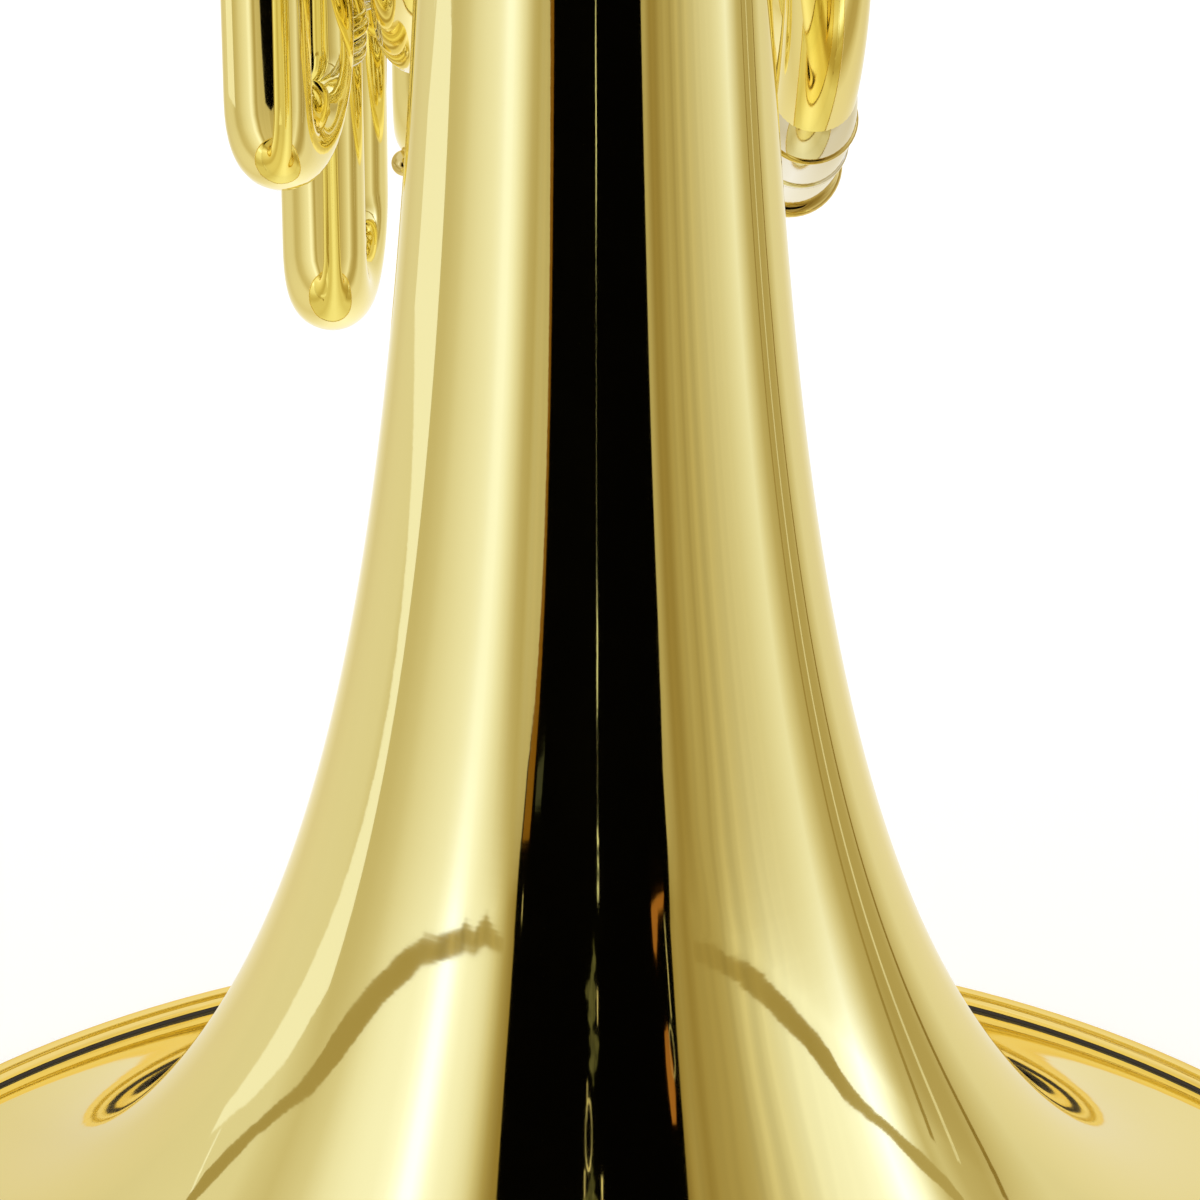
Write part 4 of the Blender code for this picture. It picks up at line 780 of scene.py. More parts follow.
def arch(place, deck):
    """The round arch of tube from one casing to the next."""
    half = VALVE_STEP / 2
    reach = (CASING_R + CASING_BORE_R) / 2 * math.sqrt(0.5)
    radius = (half - reach) * math.sqrt(2.0)
    a = np.radians(np.linspace(135.0, 45.0, 24))
    path = np.stack([np.full(24, deck * DECK_X), valve_y(place) + half + radius * np.cos(a),
                     VALVE_Z + reach - (half - reach) + radius * np.sin(a)], axis=1)
    run = length_of(path)
    stations = np.concatenate([[(0.0, TUBE_R)], bead(0.0050, 0.0011, TUBE_R, 0.0006),
                               even(0.0065, run - 0.0065, TUBE_R, 0.002),
                               bead(run - 0.0050, 0.0011, TUBE_R, 0.0006), [(run, TUBE_R)]])
    return carry(path, stations, 40)


for place, name in enumerate(VALVES):
    middle = vec(0, valve_y(place), VALVE_Z)
    edge = CASING_R + 0.0010
    half = CASING_HALF
    profile = np.concatenate([
        [(-half, SHAFT_BORE_R), (-half, 0.0060), (-half + 0.0004, 0.0064), (-half + 0.0004, 0.0120),
         (-half, 0.0124), (-half, CASING_R - 0.0006), (-half + 0.0006, CASING_R)],
        bead(-half + 0.0036, 0.0010, CASING_R, 0.0005), bead(half - 0.0105, 0.0008, CASING_R, 0.0005),
        [(half - 0.0075, CASING_R), (half - 0.0070, edge - 0.0003), (half - 0.0065, edge),
         (half - 0.0004, edge), (half, edge - 0.0004), (half, CASING_BORE_R),
         (BACK_PLATE - half, CASING_BORE_R), (BACK_PLATE - half, SHAFT_BORE_R)]])
    sheets = [turned(profile, middle, ACROSS, 72, loop=True)]
    for deck in (-1, 1):
        shift = ACROSS * deck * DECK_X
        for side in (-1, 1):
            sheets.append(stub(middle + shift + BACK * side * PORT_Y, -UP, 0.0100, STUB_REACH))
        if place in (0, 3):
            way = unit(vec(0, -1 if place == 0 else 1, 1))
            sheets.append(stub(middle + shift, way, 0.0150, STUB_REACH + 0.001))
        if place < 3:
            sheets.append(arch(place, deck))
    piece(name + "_casing_body", "root", turned_brass, sheets, [name + "_casing"])

for place, name in enumerate(VALVES):
    rotor = frame["nodes"][name + "_rotor"]
    rotor.material_slots[0].link = "OBJECT"
    rotor.material_slots[0].material = turned_brass.material

KNURLS = 60
for place, name in enumerate(VALVES):
    middle = vec(CASING_HALF + GAP, valve_y(place), VALVE_Z)
    h, r = CAP_HEIGHT, CAP_R
    crown = r - 0.0016
    profile = np.concatenate([
        [(0.0, 0.0020), (0.0, r - 0.0008), (0.0004, r - 0.0002), (0.0007, r), (h - 0.0017, r), (h - 0.0014, r - 0.0003),
         (h - 0.0010, r - 0.0010), (h - 0.0008, crown), (h - 0.0010, crown - 0.0006), (h - 0.0016, crown - 0.0010),
         (h - 0.0016, crown - 0.0026), (h - 0.0010, crown - 0.0034), (h - 0.0007, crown - 0.0060), (h - 0.0012, 0.0064),
         (h - 0.0012, 0.0056), (h - 0.0002, 0.0044), (h, 0.0030), (h, 0.0004)]])
    points, faces, marks = turned(profile, middle, ACROSS, KNURLS * 6)
    spokes = points - middle
    distance = np.hypot(spokes[:, 1], spokes[:, 2])
    teeth = np.cos(KNURLS * np.arctan2(spokes[:, 2], spokes[:, 1]))
    grip = np.clip((distance - r + 0.0006) / 0.0006, 0.0, 1.0)
    cut = 1.0 - grip * 0.0060 * (1.0 - teeth)
    points[:, 1:] = middle[1:] + spokes[:, 1:] * cut[:, None]
    piece(name + "_cap_knurled", "root", turned_brass, [(points, faces, marks)], [name + "_cap"])

# Slides of the valves. Each has two brass sleeves with a stay between them, and a crook of brass
# tube on two nickel silver legs that slide in the sleeves. Rings strengthen every open end.
LEG_R = 0.0060
LEG_BORE_R = 0.0062
SLEEVE_R = 0.0071
SLEEVE_DEPTH = 0.026
STAY_ABOVE = 0.005
SPREAD_DROP = 0.040
SLIDES = [
    ("third_f", 1, -1, -0.0426, -0.0398, 0.205, 0.1493),
    ("second_f", 2, -1, -0.0412, -0.0412, 0.222, 0.1590),
    ("first_f", 3, -1, -0.0280, -0.0280, 0.205, 0.1375),
    ("third_bb", 1, 1, 0.0160, 0.0160, 0.255, 0.2150),
    ("second_bb", 2, 1, 0.0160, 0.0160, 0.262, 0.2300),
    ("first_bb", 3, 1, 0.0160, 0.0160, 0.258, 0.2160),
]


def stay(start, end, start_r, end_r, start_way, end_way, foot=0.0046, waist=0.0017, sides=36):
    """A turned stay whose flared feet are bent to the two tubes that it joins.

    Its radius falls from each foot as waist + (foot - waist) e^(-s / flare) and swells to a ball in
    the middle. A point at distance u beside a tube of radius r sinks by r - sqrt(r^2 - u^2).
    """
    way = unit(end - start)
    span = float(np.linalg.norm(end - start)) - start_r - end_r
    s = span * (0.5 - 0.5 * np.cos(np.linspace(0.0, math.pi, 34)))
    nearest = np.minimum(s, span - s)
    radius = waist + (foot - waist) * np.exp(-nearest / min(0.0026, span / 6))
    radius = radius + 0.0009 * np.exp(-((s - span / 2) / 0.0012) ** 2) * (span > 0.012)
    path = np.array([start, end])
    stations = np.stack([start_r + s, radius], axis=1)
    stations = np.concatenate([[(start_r - 0.0002, foot * 0.96)], stations,
                               [(start_r + span + 0.0002, foot * 0.96)]])
    points, faces, marks = carry(path, stations, sides, start_way)
    along = (points - start) @ way / (start_r + end_r + span)
    for tube_way, r, share, sink in ((start_way, start_r, np.clip(1.0 - along * 2.0, 0, 1), -way),
                                     (end_way, end_r, np.clip(along * 2.0 - 1.0, 0, 1), way)):
        beside = (points - start) @ unit(np.cross(way, tube_way))
        depth = r - np.sqrt(np.maximum(r * r - beside ** 2, 0.0))
        points += (depth * np.clip(share * 2.0 - 0.6, 0.0, 1.0))[:, None] * sink
    return points, faces, marks


def crook(near, far, way, top, turn):
    """A slide's centre line: down one leg, round a half circle and back up the other."""
    middle, half = (near + far) / 2, (near - far) / 2
    a = np.linspace(0.0, math.pi, 40)[:, None]
    bend = middle + way * turn + np.cos(a) * half + np.sin(a) * way * np.linalg.norm(half)
    return joined(line(near + way * top, near + way * turn, 10), bend, line(far + way * turn, far + way * top, 10))


def collar(place, way, start, bore):
    """A nickel ring round the end of a tube, with two turned beads."""
    wall = SLEEVE_R
    profile = np.concatenate([[(0.0, bore), (0.0, wall - 0.0001)], bead(0.0011, 0.0009, wall - 0.0001, 0.0004),
                              [(0.0021, wall - 0.0001)], bead(0.0031, 0.0008, wall - 0.0001, 0.0003),
                              [(0.0040, wall - 0.0001), (0.0042, bore)]])
    return turned(profile, place + way * start, way, 44, loop=True)


def slide(name, near, far, way, end, turn, tube_r=TUBE_R):
    """A tuning slide: brass crook, nickel legs and collars. end and turn are distances along way."""
    path = crook(near, far, way, end + GAP, turn)
    run = length_of(path)
    body = name + "_slide"
    piece(body + "_crook", body, drawn_brass, [carry(path, even(0.0, run, tube_r, 0.002), 48)], [body])
    inside = end - SLEEVE_DEPTH + 0.0006
    legs = [turned([(0.0, LEG_R - 0.0006), (0.0, LEG_R - 0.0002), (0.0003, LEG_R), (SLEEVE_DEPTH, LEG_R),
                    (SLEEVE_DEPTH, LEG_R - 0.0006)], foot + way * inside, way, 40, loop=True) for foot in (near, far)]
    legs += [collar(foot, way, end + GAP, tube_r) for foot in (near, far)]
    piece(body + "_legs", body, nickel, legs)


def sleeve(path):
    """A sleeve: tube from the valve, then the wider sleeve with a bore for the slide's leg."""
    run = length_of(path)
    deep = run - SLEEVE_DEPTH
    stations = np.concatenate([
        [(0.0, TUBE_R)], even(0.0006, deep - 0.0040, TUBE_R, 0.002), [(deep - 0.0012, TUBE_R)],
        bead(deep + 0.0001, 0.0010, SLEEVE_R - 0.0002, 0.0004), even(deep + 0.0014, run - 0.0046, SLEEVE_R, 0.003),
        bead(run - 0.0032, 0.0009, SLEEVE_R, 0.0003), bead(run - 0.0011, 0.0010, SLEEVE_R, 0.0006),
        [(run, SLEEVE_R - 0.0001), (run, LEG_BORE_R + 0.0002), (run - 0.0003, LEG_BORE_R), (deep, LEG_BORE_R)]])
    return carry(path, stations, 48)


def sleeves(name, near, far, way):
    """A slide's two sleeves and the nickel stay between them."""
    piece(name + "_tubes", "root", drawn_brass, [sleeve(near), sleeve(far)], [name])
    back = way * (SLEEVE_DEPTH + STAY_ABOVE)
    piece(name + "_stay", "root", nickel, [stay(near[-1] - back, far[-1] - back, TUBE_R, TUBE_R, way, way, 0.0038)])


def drop(port_x, leg_x, y, end):
    """From a valve's lower port down to a sleeve's end, spreading out in X on the way."""
    top = vec(port_x, y, VALVE_Z - STUB_REACH)
    if abs(port_x - leg_x) < 0.0005:
        return line(top, vec(leg_x, y, end), 20)
    low = vec(leg_x, y, top[2] - GAP - SPREAD_DROP)
    return joined(bridge(top, -UP, low, -UP, SPREAD_DROP * 0.55), line(low, vec(leg_x, y, end), 12))


for name, place, deck, near_x, far_x, end, bottom in SLIDES:
    near_y, far_y = valve_y(place) - PORT_Y, valve_y(place) + PORT_Y
    sleeves(name + "_sleeves", drop(deck * DECK_X, near_x, near_y, end), drop(deck * DECK_X, far_x, far_y, end), -UP)
    near, far = vec(near_x, near_y, 0), vec(far_x, far_y, 0)
    slide(name, near, far, -UP, -end, -(bottom + TUBE_R + np.linalg.norm(near - far) / 2))

# Pull knob. A small brass ball on a short foot, soldered low on the first F slide's crook.
knob_way = unit(vec(-0.0055, -0.0030, -0.0062))
knob_seat = vec(-0.0268, 0.1930, 0.1468) + knob_way * (TUBE_R - 0.0004)
a = np.radians(np.linspace(-58.0, 88.0, 18))
ball = np.stack([0.0034 + 0.0023 * np.sin(a), 0.0023 * np.cos(a)], axis=1)
# The knob's darker brass is painted shade.
piece("first_f_slide_knob", "first_f_slide", dark_brass_painted_shade,
      [turned(np.concatenate([[(0.0, 0.0024), (0.0006, 0.0023), (0.0009, 0.0016), (0.0014, 0.0013)], ball]),
              knob_seat, knob_way, 40)])

# F tuning slide. It hangs beside the change valve: its near leg takes the F tubing that comes
# round the ring, and its far leg leads up into the valve.
F_TUNING_NEAR_X = -0.0484
F_TUNING_FAR_X = -0.0430
F_TUNING_END = 0.240
F_TUNING_BOTTOM = 0.1945
near_y, far_y = valve_y(0) - PORT_Y, valve_y(0) + PORT_Y
f_tuning_top = vec(F_TUNING_NEAR_X, near_y, VALVE_Z - 0.010)
sleeves("f_tuning_sleeves", line(f_tuning_top, vec(F_TUNING_NEAR_X, near_y, F_TUNING_END), 30),
        drop(-DECK_X, F_TUNING_FAR_X, far_y, F_TUNING_END), -UP)
near, far = vec(F_TUNING_NEAR_X, near_y, 0), vec(F_TUNING_FAR_X, far_y, 0)
slide("f_tuning", near, far, -UP, -F_TUNING_END,
      -(F_TUNING_BOTTOM + TUBE_R + float(np.linalg.norm(near - far)) / 2))

# Main tuning slide. It stands above the mouthpipe's end and is pulled upwards. Its crook is drawn
# a little thinner than the others, so that it clears the mouthpipe when it is pulled right out.
TUNING_TUBE_R = 0.0062
TUNING_STEP = 0.026
TUNING_FAR_START = 0.368
TUNING_END = 0.402
TUNING_TOP = 0.434
near, far = vec(PIPE_OUT_X, PIPE_OUT_Y, 0), vec(PIPE_OUT_X, PIPE_OUT_Y + TUNING_STEP, 0)
sleeves("main_tuning_sleeves", line(near + UP * TUNING_START, near + UP * TUNING_END, 20),
        line(far + UP * TUNING_FAR_START, far + UP * TUNING_END, 16), UP)
slide("main_tuning", near, far, UP, TUNING_END, TUNING_TOP - TUBE_R - TUNING_STEP / 2, TUNING_TUBE_R)

# Tubing round the ring. Brass tube leads from the far valve back to the change valve on both
# sides, F in front and B flat behind. Nickel ferrules cover the soldered joints.
F_BRANCH_R = RING_R - 0.0233
F_BRANCH_X = -0.0135
F_BRANCH_OUT_X = -0.0268
F_TURNS_OUT = -74.0
F_IS_OUT = -122.0
BB_BRANCH_R = RING_R - 0.0174
BB_BRANCH_X = 0.031
BOW_OUT = 0.0285
BOW_DROP = 0.018
RING_JOIN = 20.0
BB_LEAVES = -138.0


def port(place, deck, side):
    """A valve's upper port and the way out of it: side is 1 towards +Y and -1 towards the bell."""
    reach = (STUB_REACH + 0.0010) * math.sqrt(0.5)
    return vec(deck * DECK_X, valve_y(place) + side * reach, VALVE_Z + reach), vec(0, side, 1)


def heading(angle):
    """Direction of travel on the ring where the angle falls."""
    return vec(0.0, math.sin(math.radians(angle)), -math.cos(math.radians(angle)))


def branch(name, path, stands_for, joints):
    """Brass tubing with nickel ferrules at the given distances, negative ones from its far end."""
    run = length_of(path)
    piece(name, "root", drawn_brass, [carry(path, even(0.0, run, TUBE_R, 0.002), 48)], [stands_for])
    for number, (start, long) in enumerate(joints):
        start = start if start >= 0 else run + start
        ferrule(f"{name}_ferrule_{number}", path, start, start + long, TUBE_R + 0.0001)


start, out = port(3, -1, 1)
ring = joined(round_ring(F_BRANCH_R, -RING_JOIN, F_TURNS_OUT, F_BRANCH_X, F_BRANCH_X),
              round_ring(F_BRANCH_R, F_TURNS_OUT, F_IS_OUT, F_BRANCH_X, F_BRANCH_OUT_X),
              round_ring(F_BRANCH_R, F_IS_OUT, -180.0, F_BRANCH_OUT_X, F_BRANCH_OUT_X))
down = vec(F_TUNING_NEAR_X, near_y, f_tuning_top[2])
up = ring[-1] + UP * 0.012
f_path = joined(bridge(start, out, ring[0], heading(-RING_JOIN), 0.030), ring, [up],
                bridge(up, UP, down + UP * 0.004, -UP, 0.017), [down])
branch("f_tubing", f_path, "f_branch", [(0.0004, 0.012), (0.085, 0.016), (-0.018, 0.014)])
start, out = port(3, 1, 1)
ring = round_ring(BB_BRANCH_R, -RING_JOIN, BB_LEAVES, BB_BRANCH_X, BB_BRANCH_X)
end = vec(DECK_X, near_y, VALVE_Z - STUB_REACH)
bb_path = joined(bridge(start, out, ring[0], heading(-RING_JOIN), 0.030), ring,
                 bridge(ring[-1], heading(BB_LEAVES), end - UP * 0.006, UP, 0.020), [end])
branch("bb_tubing", bb_path, "bb_branch", [(0.0004, 0.012), (0.085, 0.016), (-0.014, 0.013)])
start, out = port(0, 1, -1)
end = vec(PIPE_OUT_X, PIPE_OUT_Y + TUNING_STEP, TUNING_FAR_START)
branch("tuning_tubing", bridge(start, out, end, UP, 0.012),
       "tuning_branch", [(0.0004, 0.010), (-0.012, 0.012)])
start, out = port(0, -1, -1)
side = vec(-DECK_X, valve_y(0) - BOW_OUT, VALVE_Z)
bow = joined(bridge(start, out, side, -UP, 0.010),
             bridge(side - UP * BOW_DROP, -UP, vec(-DECK_X, near_y, VALVE_Z - STUB_REACH), UP, 0.011))
branch("valve_bow", bow, "change_valve_bow", [(0.0004, 0.010), (-0.011, 0.010)])

# Stop arms. A nickel silver hub on each rotor's shaft, held by a slotted screw, with an arm that
# swings between two black bumpers on a brass plate at the back of the casing.
HUB_R = 0.0042
HUB_LENGTH = 0.0155
ARM_THICK = 0.0025
ARM_REACH = 0.0135


def bar(corner, far_corner, edge=0.0003):
    """A rectangular bar with bevelled long edges, between two opposite corners, as one sheet."""
    low, high = np.minimum(corner, far_corner), np.maximum(corner, far_corner)
    middle, half = (low + high) / 2, (high - low) / 2
    axis = int(np.argmax(half))
    one, two = [i for i in range(3) if i != axis]
    turns = [(1, 1 - edge / half[two]), (1 - edge / half[one], 1)]
    outline = [(x, y) for x, y in turns] + [(-x, y) for x, y in turns[::-1]] \
        + [(-x, -y) for x, y in turns] + [(x, -y) for x, y in turns[::-1]]
    rows = []
    for along, share in ((-1, 0.0), (-1, 1.0), (1, 1.0), (1, 0.0)):
        ring = np.tile(middle, (8, 1))
        shrink = 1.0 - (1.0 - share) * edge / min(half[one], half[two])
        ring[:, axis] += along * (half[axis] - (0.0 if share == 0.0 else edge))
        ring[:, one] += [x * half[one] * shrink for x, _ in outline]
        ring[:, two] += [y * half[two] * shrink for _, y in outline]
        rows.append(ring)
    points = np.array(rows)
    along = np.cumsum([0.0, edge, 2 * half[axis], edge])
    uv = np.stack(np.meshgrid(along, np.linspace(0, 1, 9), indexing="ij"), axis=-1)
    return grid(points, uv, ends=True)


rubber = Finish("black_rubber")
place = rubber.node("ShaderNodeTexCoord", out="Object")
speck = rubber.node("ShaderNodeTexNoise", sockets={"Vector": place, "Scale": 1800.0, "Detail": 4.0})
rubber.feed(rubber.shader, {"Base Color": rubber.node("ShaderNodeMix", {"data_type": "RGBA"}, {
    0: speck, 6: (0.012, 0.012, 0.012, 1.0), 7: (0.035, 0.034, 0.033, 1.0)}, out=2), "Roughness": speck * 0.3 + 0.45,
    "Normal": rubber.node("ShaderNodeBump", sockets={"Height": speck, "Distance": 0.00005})})


def screw(centre, way, radius, height):
    """A cheese-head screw: a domed head with its slot cut across, as one sheet."""
    head = [(0.0, radius * 0.98), (height * 0.7, radius), (height, radius * 0.86), (height * 1.06, radius * 0.5),
            (height * 1.08, radius * 0.04)]
    other = ACROSS if abs(way[0]) < 0.9 else BACK
    points, faces, marks = turned(head, centre, way, 48)
    slot_way = unit(np.cross(way, other))
    rise, off = (points - centre) @ way, (points - centre) @ slot_way
    deep = (np.abs(off) < radius * 0.17) & (rise > height * 0.5)
    points[deep] -= way * height * 0.5
    return points, faces, marks


for place, name in enumerate(VALVES):
    middle = vec(-CASING_HALF, valve_y(place), VALVE_Z)
    body = name + "_rotor"
    hub = np.concatenate([
        [(0.0010, 0.0031), (0.0010, HUB_R + 0.0004), (0.0012, HUB_R + 0.0006), (0.0033, HUB_R + 0.0006), (0.0035, HUB_R),
         (0.0060, HUB_R), (0.0062, HUB_R - 0.0002), (HUB_LENGTH - 0.0011, HUB_R - 0.0002)],
        [(HUB_LENGTH - 0.0009, HUB_R), (HUB_LENGTH - 0.0002, HUB_R), (HUB_LENGTH, HUB_R - 0.0003),
         (HUB_LENGTH, 0.0031)]])
    tip = middle + vec(-0.0022, -ARM_REACH, 0)
    sheets = [turned(hub, middle, -ACROSS, 48, loop=True),
              bar(middle + vec(-0.0012, -0.0036, -0.0019), middle + vec(-0.0033, -ARM_REACH, 0.0019)),
              screw(middle - ACROSS * (HUB_LENGTH - 0.0002), -ACROSS, 0.0030, 0.0010)]
    piece(name + "_stop_arm_hub", body, nickel, sheets, [name + "_stop_arm"])
    swing = -1 if place == 0 else 1
    spots = np.radians([200, 70] if swing > 0 else [160, 290])
    inner, outer = 0.0072, 0.0142
    turn = np.linspace(spots[0] + swing * 0.22, spots[1] - swing * 0.22, 40)
    rows = [[inner, -0.0001], [inner, -0.0008], [outer, -0.0008], [outer, -0.0001]]
    points = np.stack([np.stack([np.full(40, x), r * np.cos(turn), r * np.sin(turn)], axis=1) for r, x in rows], axis=1)
    uv = np.stack(np.meshgrid(np.linspace(0, 0.03, 40), np.linspace(0, 1, 5), indexing="ij"), axis=-1)
    piece(name + "_stop_plate", "root", turned_brass, [grid(points + middle, uv, ends=True)])
    bumpers = [turned([(0.0008, 0.0017), (0.0030, 0.0017), (0.0034, 0.0013), (0.0034, 0.0002)],
                      middle + 0.0112 * vec(0, math.cos(s), math.sin(s)), -ACROSS, 24) for s in spots]
    piece(name + "_stop_bumpers", "root", rubber, bumpers)

# Lever rod. Ground steel, held above the valves by two brass saddles that are soldered to the
# casings at both ends of the row.
ROD_Z = 0.032
ROD_R = 0.0018
BARREL_R = 0.0034
steel = polished("ground_steel", "steel", (0.62, 0.62, 0.63), (0.54, 0.54, 0.55), 0.16, (0.002, 0.0030), (1.0, 1200.0), (1.0, 1.0, 1.0), 0.0)
rod_start, rod_end = valve_y(0) - 0.0165, valve_y(3) + 0.0165
rod_long = rod_end - rod_start
profile = [(0.0, 0.0003), (0.0, ROD_R - 0.0004), (0.0004, ROD_R), (rod_long - 0.0004, ROD_R),
           (rod_long, ROD_R - 0.0004), (rod_long, 0.0003)]
piece("lever_rod_ground", "root", steel, [turned(profile, vec(0, rod_start, VALVE_Z + ROD_Z), BACK, 32)],
      ["lever_rod"])
for name, place, offset in (("near_saddle", 0, -0.0138), ("far_saddle", 3, 0.0138)):
    y = valve_y(place) + offset
    barrel = np.concatenate([[(0.0, ROD_R), (0.0, BARREL_R - 0.0003), (0.0003, BARREL_R)],
                             [(0.0037, BARREL_R), (0.0040, BARREL_R - 0.0003), (0.0040, ROD_R)]])
    post = bar(vec(-0.0030, y - 0.0018, VALVE_Z + 0.004), vec(0.0030, y + 0.0018, VALVE_Z + ROD_Z - 0.0026))
    low = post[0][:, 2] < VALVE_Z + 0.010
    off = post[0][low, 1] - valve_y(place)
    post[0][low, 2] = VALVE_Z + np.sqrt(CASING_R ** 2 - np.minimum(np.abs(off), CASING_R) ** 2) - 0.0004
    piece(name + "_post", "root", turned_brass,
          [turned(barrel, vec(0, y - 0.0020, VALVE_Z + ROD_Z), BACK, 36, loop=True), post], [name])

# Levers. Nickel silver, each on its own barrel round one steel rod, with an oval touch for the
# finger and an arm whose upright bar carries the string. Wire springs lift them.
BARREL_BORE_R = 0.0021
LEVER_ARM_R = 0.0020
BAR_X = 0.042
BAR_HALF = 0.0013
BAR_GAP = 0.0016
BAR_REACH = 0.011
TOUCH_STEP = 0.022
TOUCH_HALF = 0.0092
TOUCH_LONG = 0.0190
TOUCH_THICK = 0.0022
TOUCH_RISE = 0.062
TOUCH_OUT = 0.030
PIVOT = vec(0, 0, VALVE_Z + ROD_Z)


def touch(centre, away, wide, long):
    """An oval finger touch, slightly dished: x = thickness profile + dish (s / long)^2, where the
    outline is an ellipse and the profile rounds its edge."""
    a = np.linspace(0.0, 2 * math.pi, 64, endpoint=False)
    layers = [(-0.30, 0.02), (-0.36, 0.5), (-0.40, 0.86), (-0.34, 0.95), (-0.12, 1.0), (0.12, 1.0), (0.34, 0.95),
              (0.40, 0.86), (0.20, 0.5), (0.10, 0.02)]
    rows = []
    for height, share in layers:
        y, z = share * wide * np.cos(a), share * long * np.sin(a)
        rows.append(np.stack([away * (height * TOUCH_THICK + 0.0010 * (z / long) ** 2), y, z], axis=1))
    uv = np.stack(np.meshgrid(np.linspace(0, 0.03, len(layers)), np.linspace(0, 1, 65), indexing="ij"), axis=-1)
    return grid(np.array(rows) + centre, uv, ends=True)


touch_y = [valve_y(0) + 0.030] + [valve_y(2) + (p - 2) * TOUCH_STEP for p in (1, 2, 3)]
for place, name in enumerate(VALVES):
    thumb = place == 0
    bar_y = valve_y(place) + HUB_R + BAR_GAP + BAR_HALF
    paddle_y = touch_y[place]
    low, high = min(bar_y, paddle_y) - 0.004, max(bar_y, paddle_y) + 0.004
    run = high - low
    barrel = np.concatenate([[(0.0, BARREL_BORE_R), (0.0, BARREL_R - 0.0002)], bead(0.0013, 0.0010, BARREL_R - 0.0003, 0.0005),
                             [(0.0030, BARREL_R - 0.0005), (run - 0.0030, BARREL_R - 0.0005)],
                             bead(run - 0.0013, 0.0010, BARREL_R - 0.0003, 0.0005),
                             [(run, BARREL_R - 0.0002), (run, BARREL_BORE_R)]])
    knee = vec(-BAR_X, bar_y, PIVOT[2])
    start = PIVOT + vec(-0.0028, bar_y, 0)
    arm = joined(line(start, knee + ACROSS * 0.008, 8),
                 bridge(knee + ACROSS * 0.008, -ACROSS, knee - UP * 0.008, -UP, 0.006))
    arm_run = length_of(arm)
    away = -1.0 if thumb else 1.0
    first = PIVOT + vec(away * 0.0028, paddle_y, 0)
    mid = vec(away * TOUCH_OUT * 0.75, paddle_y, PIVOT[2] + 0.022)
    top = vec(away * (TOUCH_OUT - 0.0006), paddle_y, PIVOT[2] + TOUCH_RISE)
    stalk = joined(bridge(first, ACROSS * away, mid, UP, 0.010), bridge(mid, UP, top, UP, 0.012))
    stalk_run = length_of(stalk)
    long = TOUCH_LONG * (0.62 if thumb else 1.0)
    sheets = [
        turned(barrel, PIVOT + BACK * low, BACK, 44, loop=True),
        carry(arm, even(0.0, arm_run, lambda d: LEVER_ARM_R * (1.1 - 0.2 * d / arm_run), 0.001), 28, (0, 1, 0)),
        carry(stalk, even(0.0, stalk_run, lambda d: LEVER_ARM_R * (1.1 - 0.25 * d / stalk_run), 0.001), 28, (0, 1, 0)),
        bar(vec(-BAR_X - BAR_HALF, bar_y - BAR_HALF, VALVE_Z - BAR_REACH),
            vec(-BAR_X + BAR_HALF, bar_y + BAR_HALF, PIVOT[2] - 0.0072)),
        touch(vec(away * (TOUCH_OUT + TOUCH_THICK / 3), paddle_y, PIVOT[2] + TOUCH_RISE), away, TOUCH_HALF, long)]
    for rise in (BAR_REACH - 0.003, 0.003 - BAR_REACH):
        sheets.append(screw(vec(-BAR_X, bar_y + BAR_HALF, VALVE_Z + rise), BACK, 0.0012, 0.0009))
    lever = "thumb_lever" if thumb else name + "_lever"
    piece(lever + "_key", lever, nickel, sheets, [lever])

# Strings. Braided black cord: from the lever's bar once round the hub and back to the bar. The turns on the hub
# stay on the horn, and the two free ends are taken off the lever's body and left loose.
STRING_R = 0.0004
cord = Finish("braided_cord", "cord")
mark = cord.node("ShaderNodeTexCoord", out="UV")
along = cord.node("ShaderNodeSeparateXYZ", sockets={0: mark}, out=0)
turn = cord.node("ShaderNodeSeparateXYZ", sockets={0: mark}, out=1)
left = (along * 7000.0 + turn * (4 * math.pi)).maths("SINE", along * 7000.0 + turn * (4 * math.pi))
right = (along * 7000.0 - turn * (4 * math.pi)).maths("SINE", along * 7000.0 - turn * (4 * math.pi))
braid = left.maths("MAXIMUM", left, right)
cord.feed(cord.shader, {"Base Color": cord.node("ShaderNodeMix", {"data_type": "RGBA"}, {
    0: braid * 0.5 + 0.5, 6: (0.004, 0.004, 0.004, 1.0), 7: (0.045, 0.043, 0.040, 1.0)}, out=2),
    "Roughness": 0.75, "Normal": cord.node("ShaderNodeBump", sockets={"Height": braid, "Distance": 0.00008})})
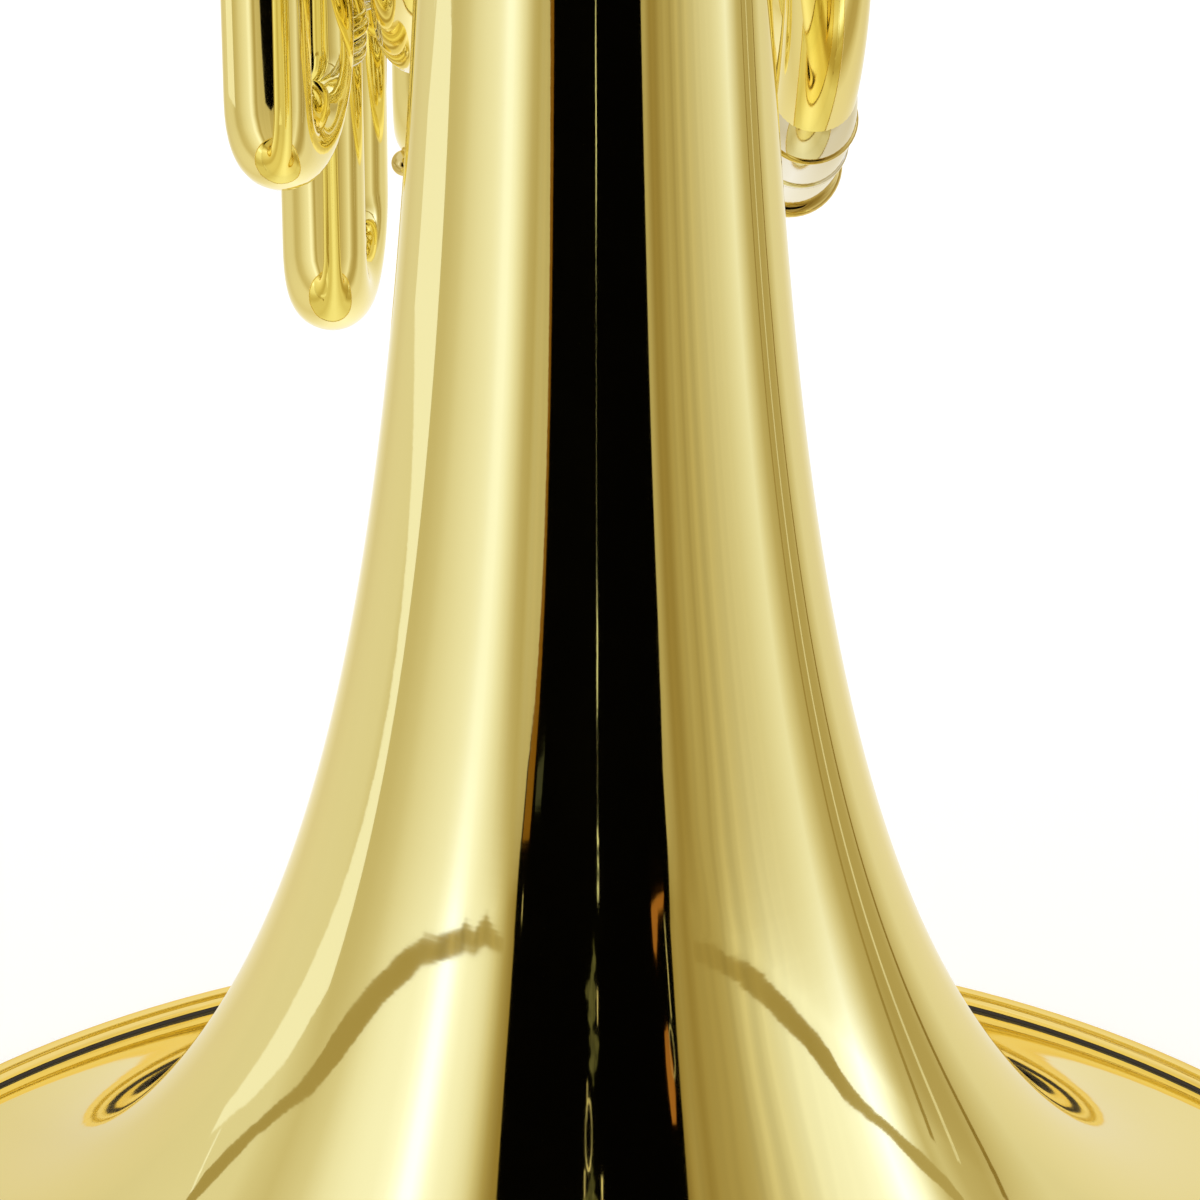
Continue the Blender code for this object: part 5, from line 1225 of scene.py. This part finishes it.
for place, name in enumerate(VALVES):
    lever = "thumb_lever" if place == 0 else name + "_lever"
    centre = vec(-BAR_X, valve_y(place), VALVE_Z)
    wrap = HUB_R + STRING_R + GAP
    pitch = 0.0024
    a = np.linspace(math.pi / 9, -2 * math.pi - math.pi / 9, 90)
    coil = np.stack([centre[0] + pitch * (a - a[0]) / (2 * math.pi) + pitch / 2,
                     centre[1] + wrap * np.cos(a), VALVE_Z + wrap * np.sin(a)], axis=1)
    face = HUB_R + BAR_GAP - STRING_R - GAP
    piece(name + "_string_turns", "root", cord, [carry(coil, even(0.0, length_of(coil), STRING_R, 0.0006), 12)],
          [name + "_string"])
    for label, meet, rise in (("top", coil[0], BAR_REACH - 0.003), ("low", coil[-1], 0.003 - BAR_REACH)):
        hold = vec(meet[0], centre[1] + face, VALVE_Z + rise)
        run = piece(f"{name}_string_{label}", lever, cord,
                    [carry(line(hold, meet, 24), even(0.0, length_of(line(hold, meet)), STRING_R, 0.0004), 12)])
        run.parent = None
        del run["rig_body"]
        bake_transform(run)

# Braces. Turned stays of nickel silver tie the bell, its tail, the mouthpipe and the two branches
# together. Their feet are flared and bent to the tubes, and soldered on.
TOP_BRACE = 70.0
LOW_BRACE = -62.0


def on_ring(x, radius, angle):
    """A point of the ring of tubing."""
    a = math.radians(angle)
    return vec(x, RING_R + radius * math.cos(a), RING_Z + radius * math.sin(a))


def tail_radius_at(angle):
    """The tail's radius where it passes an angle of the ring."""
    return float(tail_radius(RING_Z - BELL_LENGTH + RING_R * math.radians(180.0 - angle)))


def pipe_radius_at(angle):
    """The mouthpipe's radius where it passes an angle of the ring."""
    return float(pipe_radius(PIPE_STRAIGHT + PIPE_RING_R * math.radians(PIPE_TANGENT - angle)))


high = RING_Z + 0.010
piece("bell_brace_stay", "root", nickel,
      [stay(vec(0, 0, high), vec(PIPE_OUT_X, PIPE_OUT_Y, high), tail_radius_at(180.0), PIPE_LARGE_R, UP, UP, 0.0052)],
      ["bell_brace"])
for name, angle, x, radius, tube_r in (
        ("top_brace", TOP_BRACE, PIPE_X, PIPE_RING_R, pipe_radius_at(TOP_BRACE)),
        ("f_brace", LOW_BRACE, F_BRANCH_X, F_BRANCH_R, TUBE_R), ("bb_brace", LOW_BRACE, BB_BRANCH_X, BB_BRANCH_R, TUBE_R)):
    piece(name + "_stay", "root", nickel,
          [stay(on_ring(0, RING_R, angle), on_ring(x, radius, angle), tail_radius_at(angle), tube_r,
                heading(angle), heading(angle), 0.0052)], [name])

# Little finger's hook. Nickel silver rod, bent to fit the finger, on a round foot that is
# soldered to the mouthpipe.
HOOK_ANGLE = 40.0
HOOK_R = 0.0026
HOOK_FOOT = 0.006
HOOK_BEND = 0.0125
along = -heading(HOOK_ANGLE)
foot = on_ring(PIPE_X, PIPE_RING_R, HOOK_ANGLE) + ACROSS * (pipe_radius_at(HOOK_ANGLE) - 0.0002)
a = np.radians(np.linspace(0.0, 165.0, 60))[:, None]
bend = foot + ACROSS * HOOK_FOOT + along * HOOK_BEND
path = joined(line(foot, foot + ACROSS * HOOK_FOOT, 8),
              bend + HOOK_BEND * (np.sin(a) * ACROSS - np.cos(a) * along))
run = length_of(path)
t = np.linspace(0.0, math.pi / 2, 8)
stations = np.concatenate([
    [(0.0, HOOK_R + 0.0016), (0.0009, HOOK_R + 0.0014), (0.0013, HOOK_R + 0.0006), (0.0020, HOOK_R)],
    even(0.0030, run - 0.0050, HOOK_R, 0.002),
    np.stack([run - 0.0040 + 0.0012 * np.sin(t), HOOK_R + 0.0005 * np.sin(2 * t)], axis=1),
    np.stack([run - 0.0026 + 0.0026 * np.sin(t), 0.0001 + (HOOK_R - 0.0001) * np.cos(t)], axis=1)[1:]])
piece("finger_hook_rod", "root", nickel, [carry(path, stations, 36, np.cross(ACROSS, along))], ["finger_hook"])
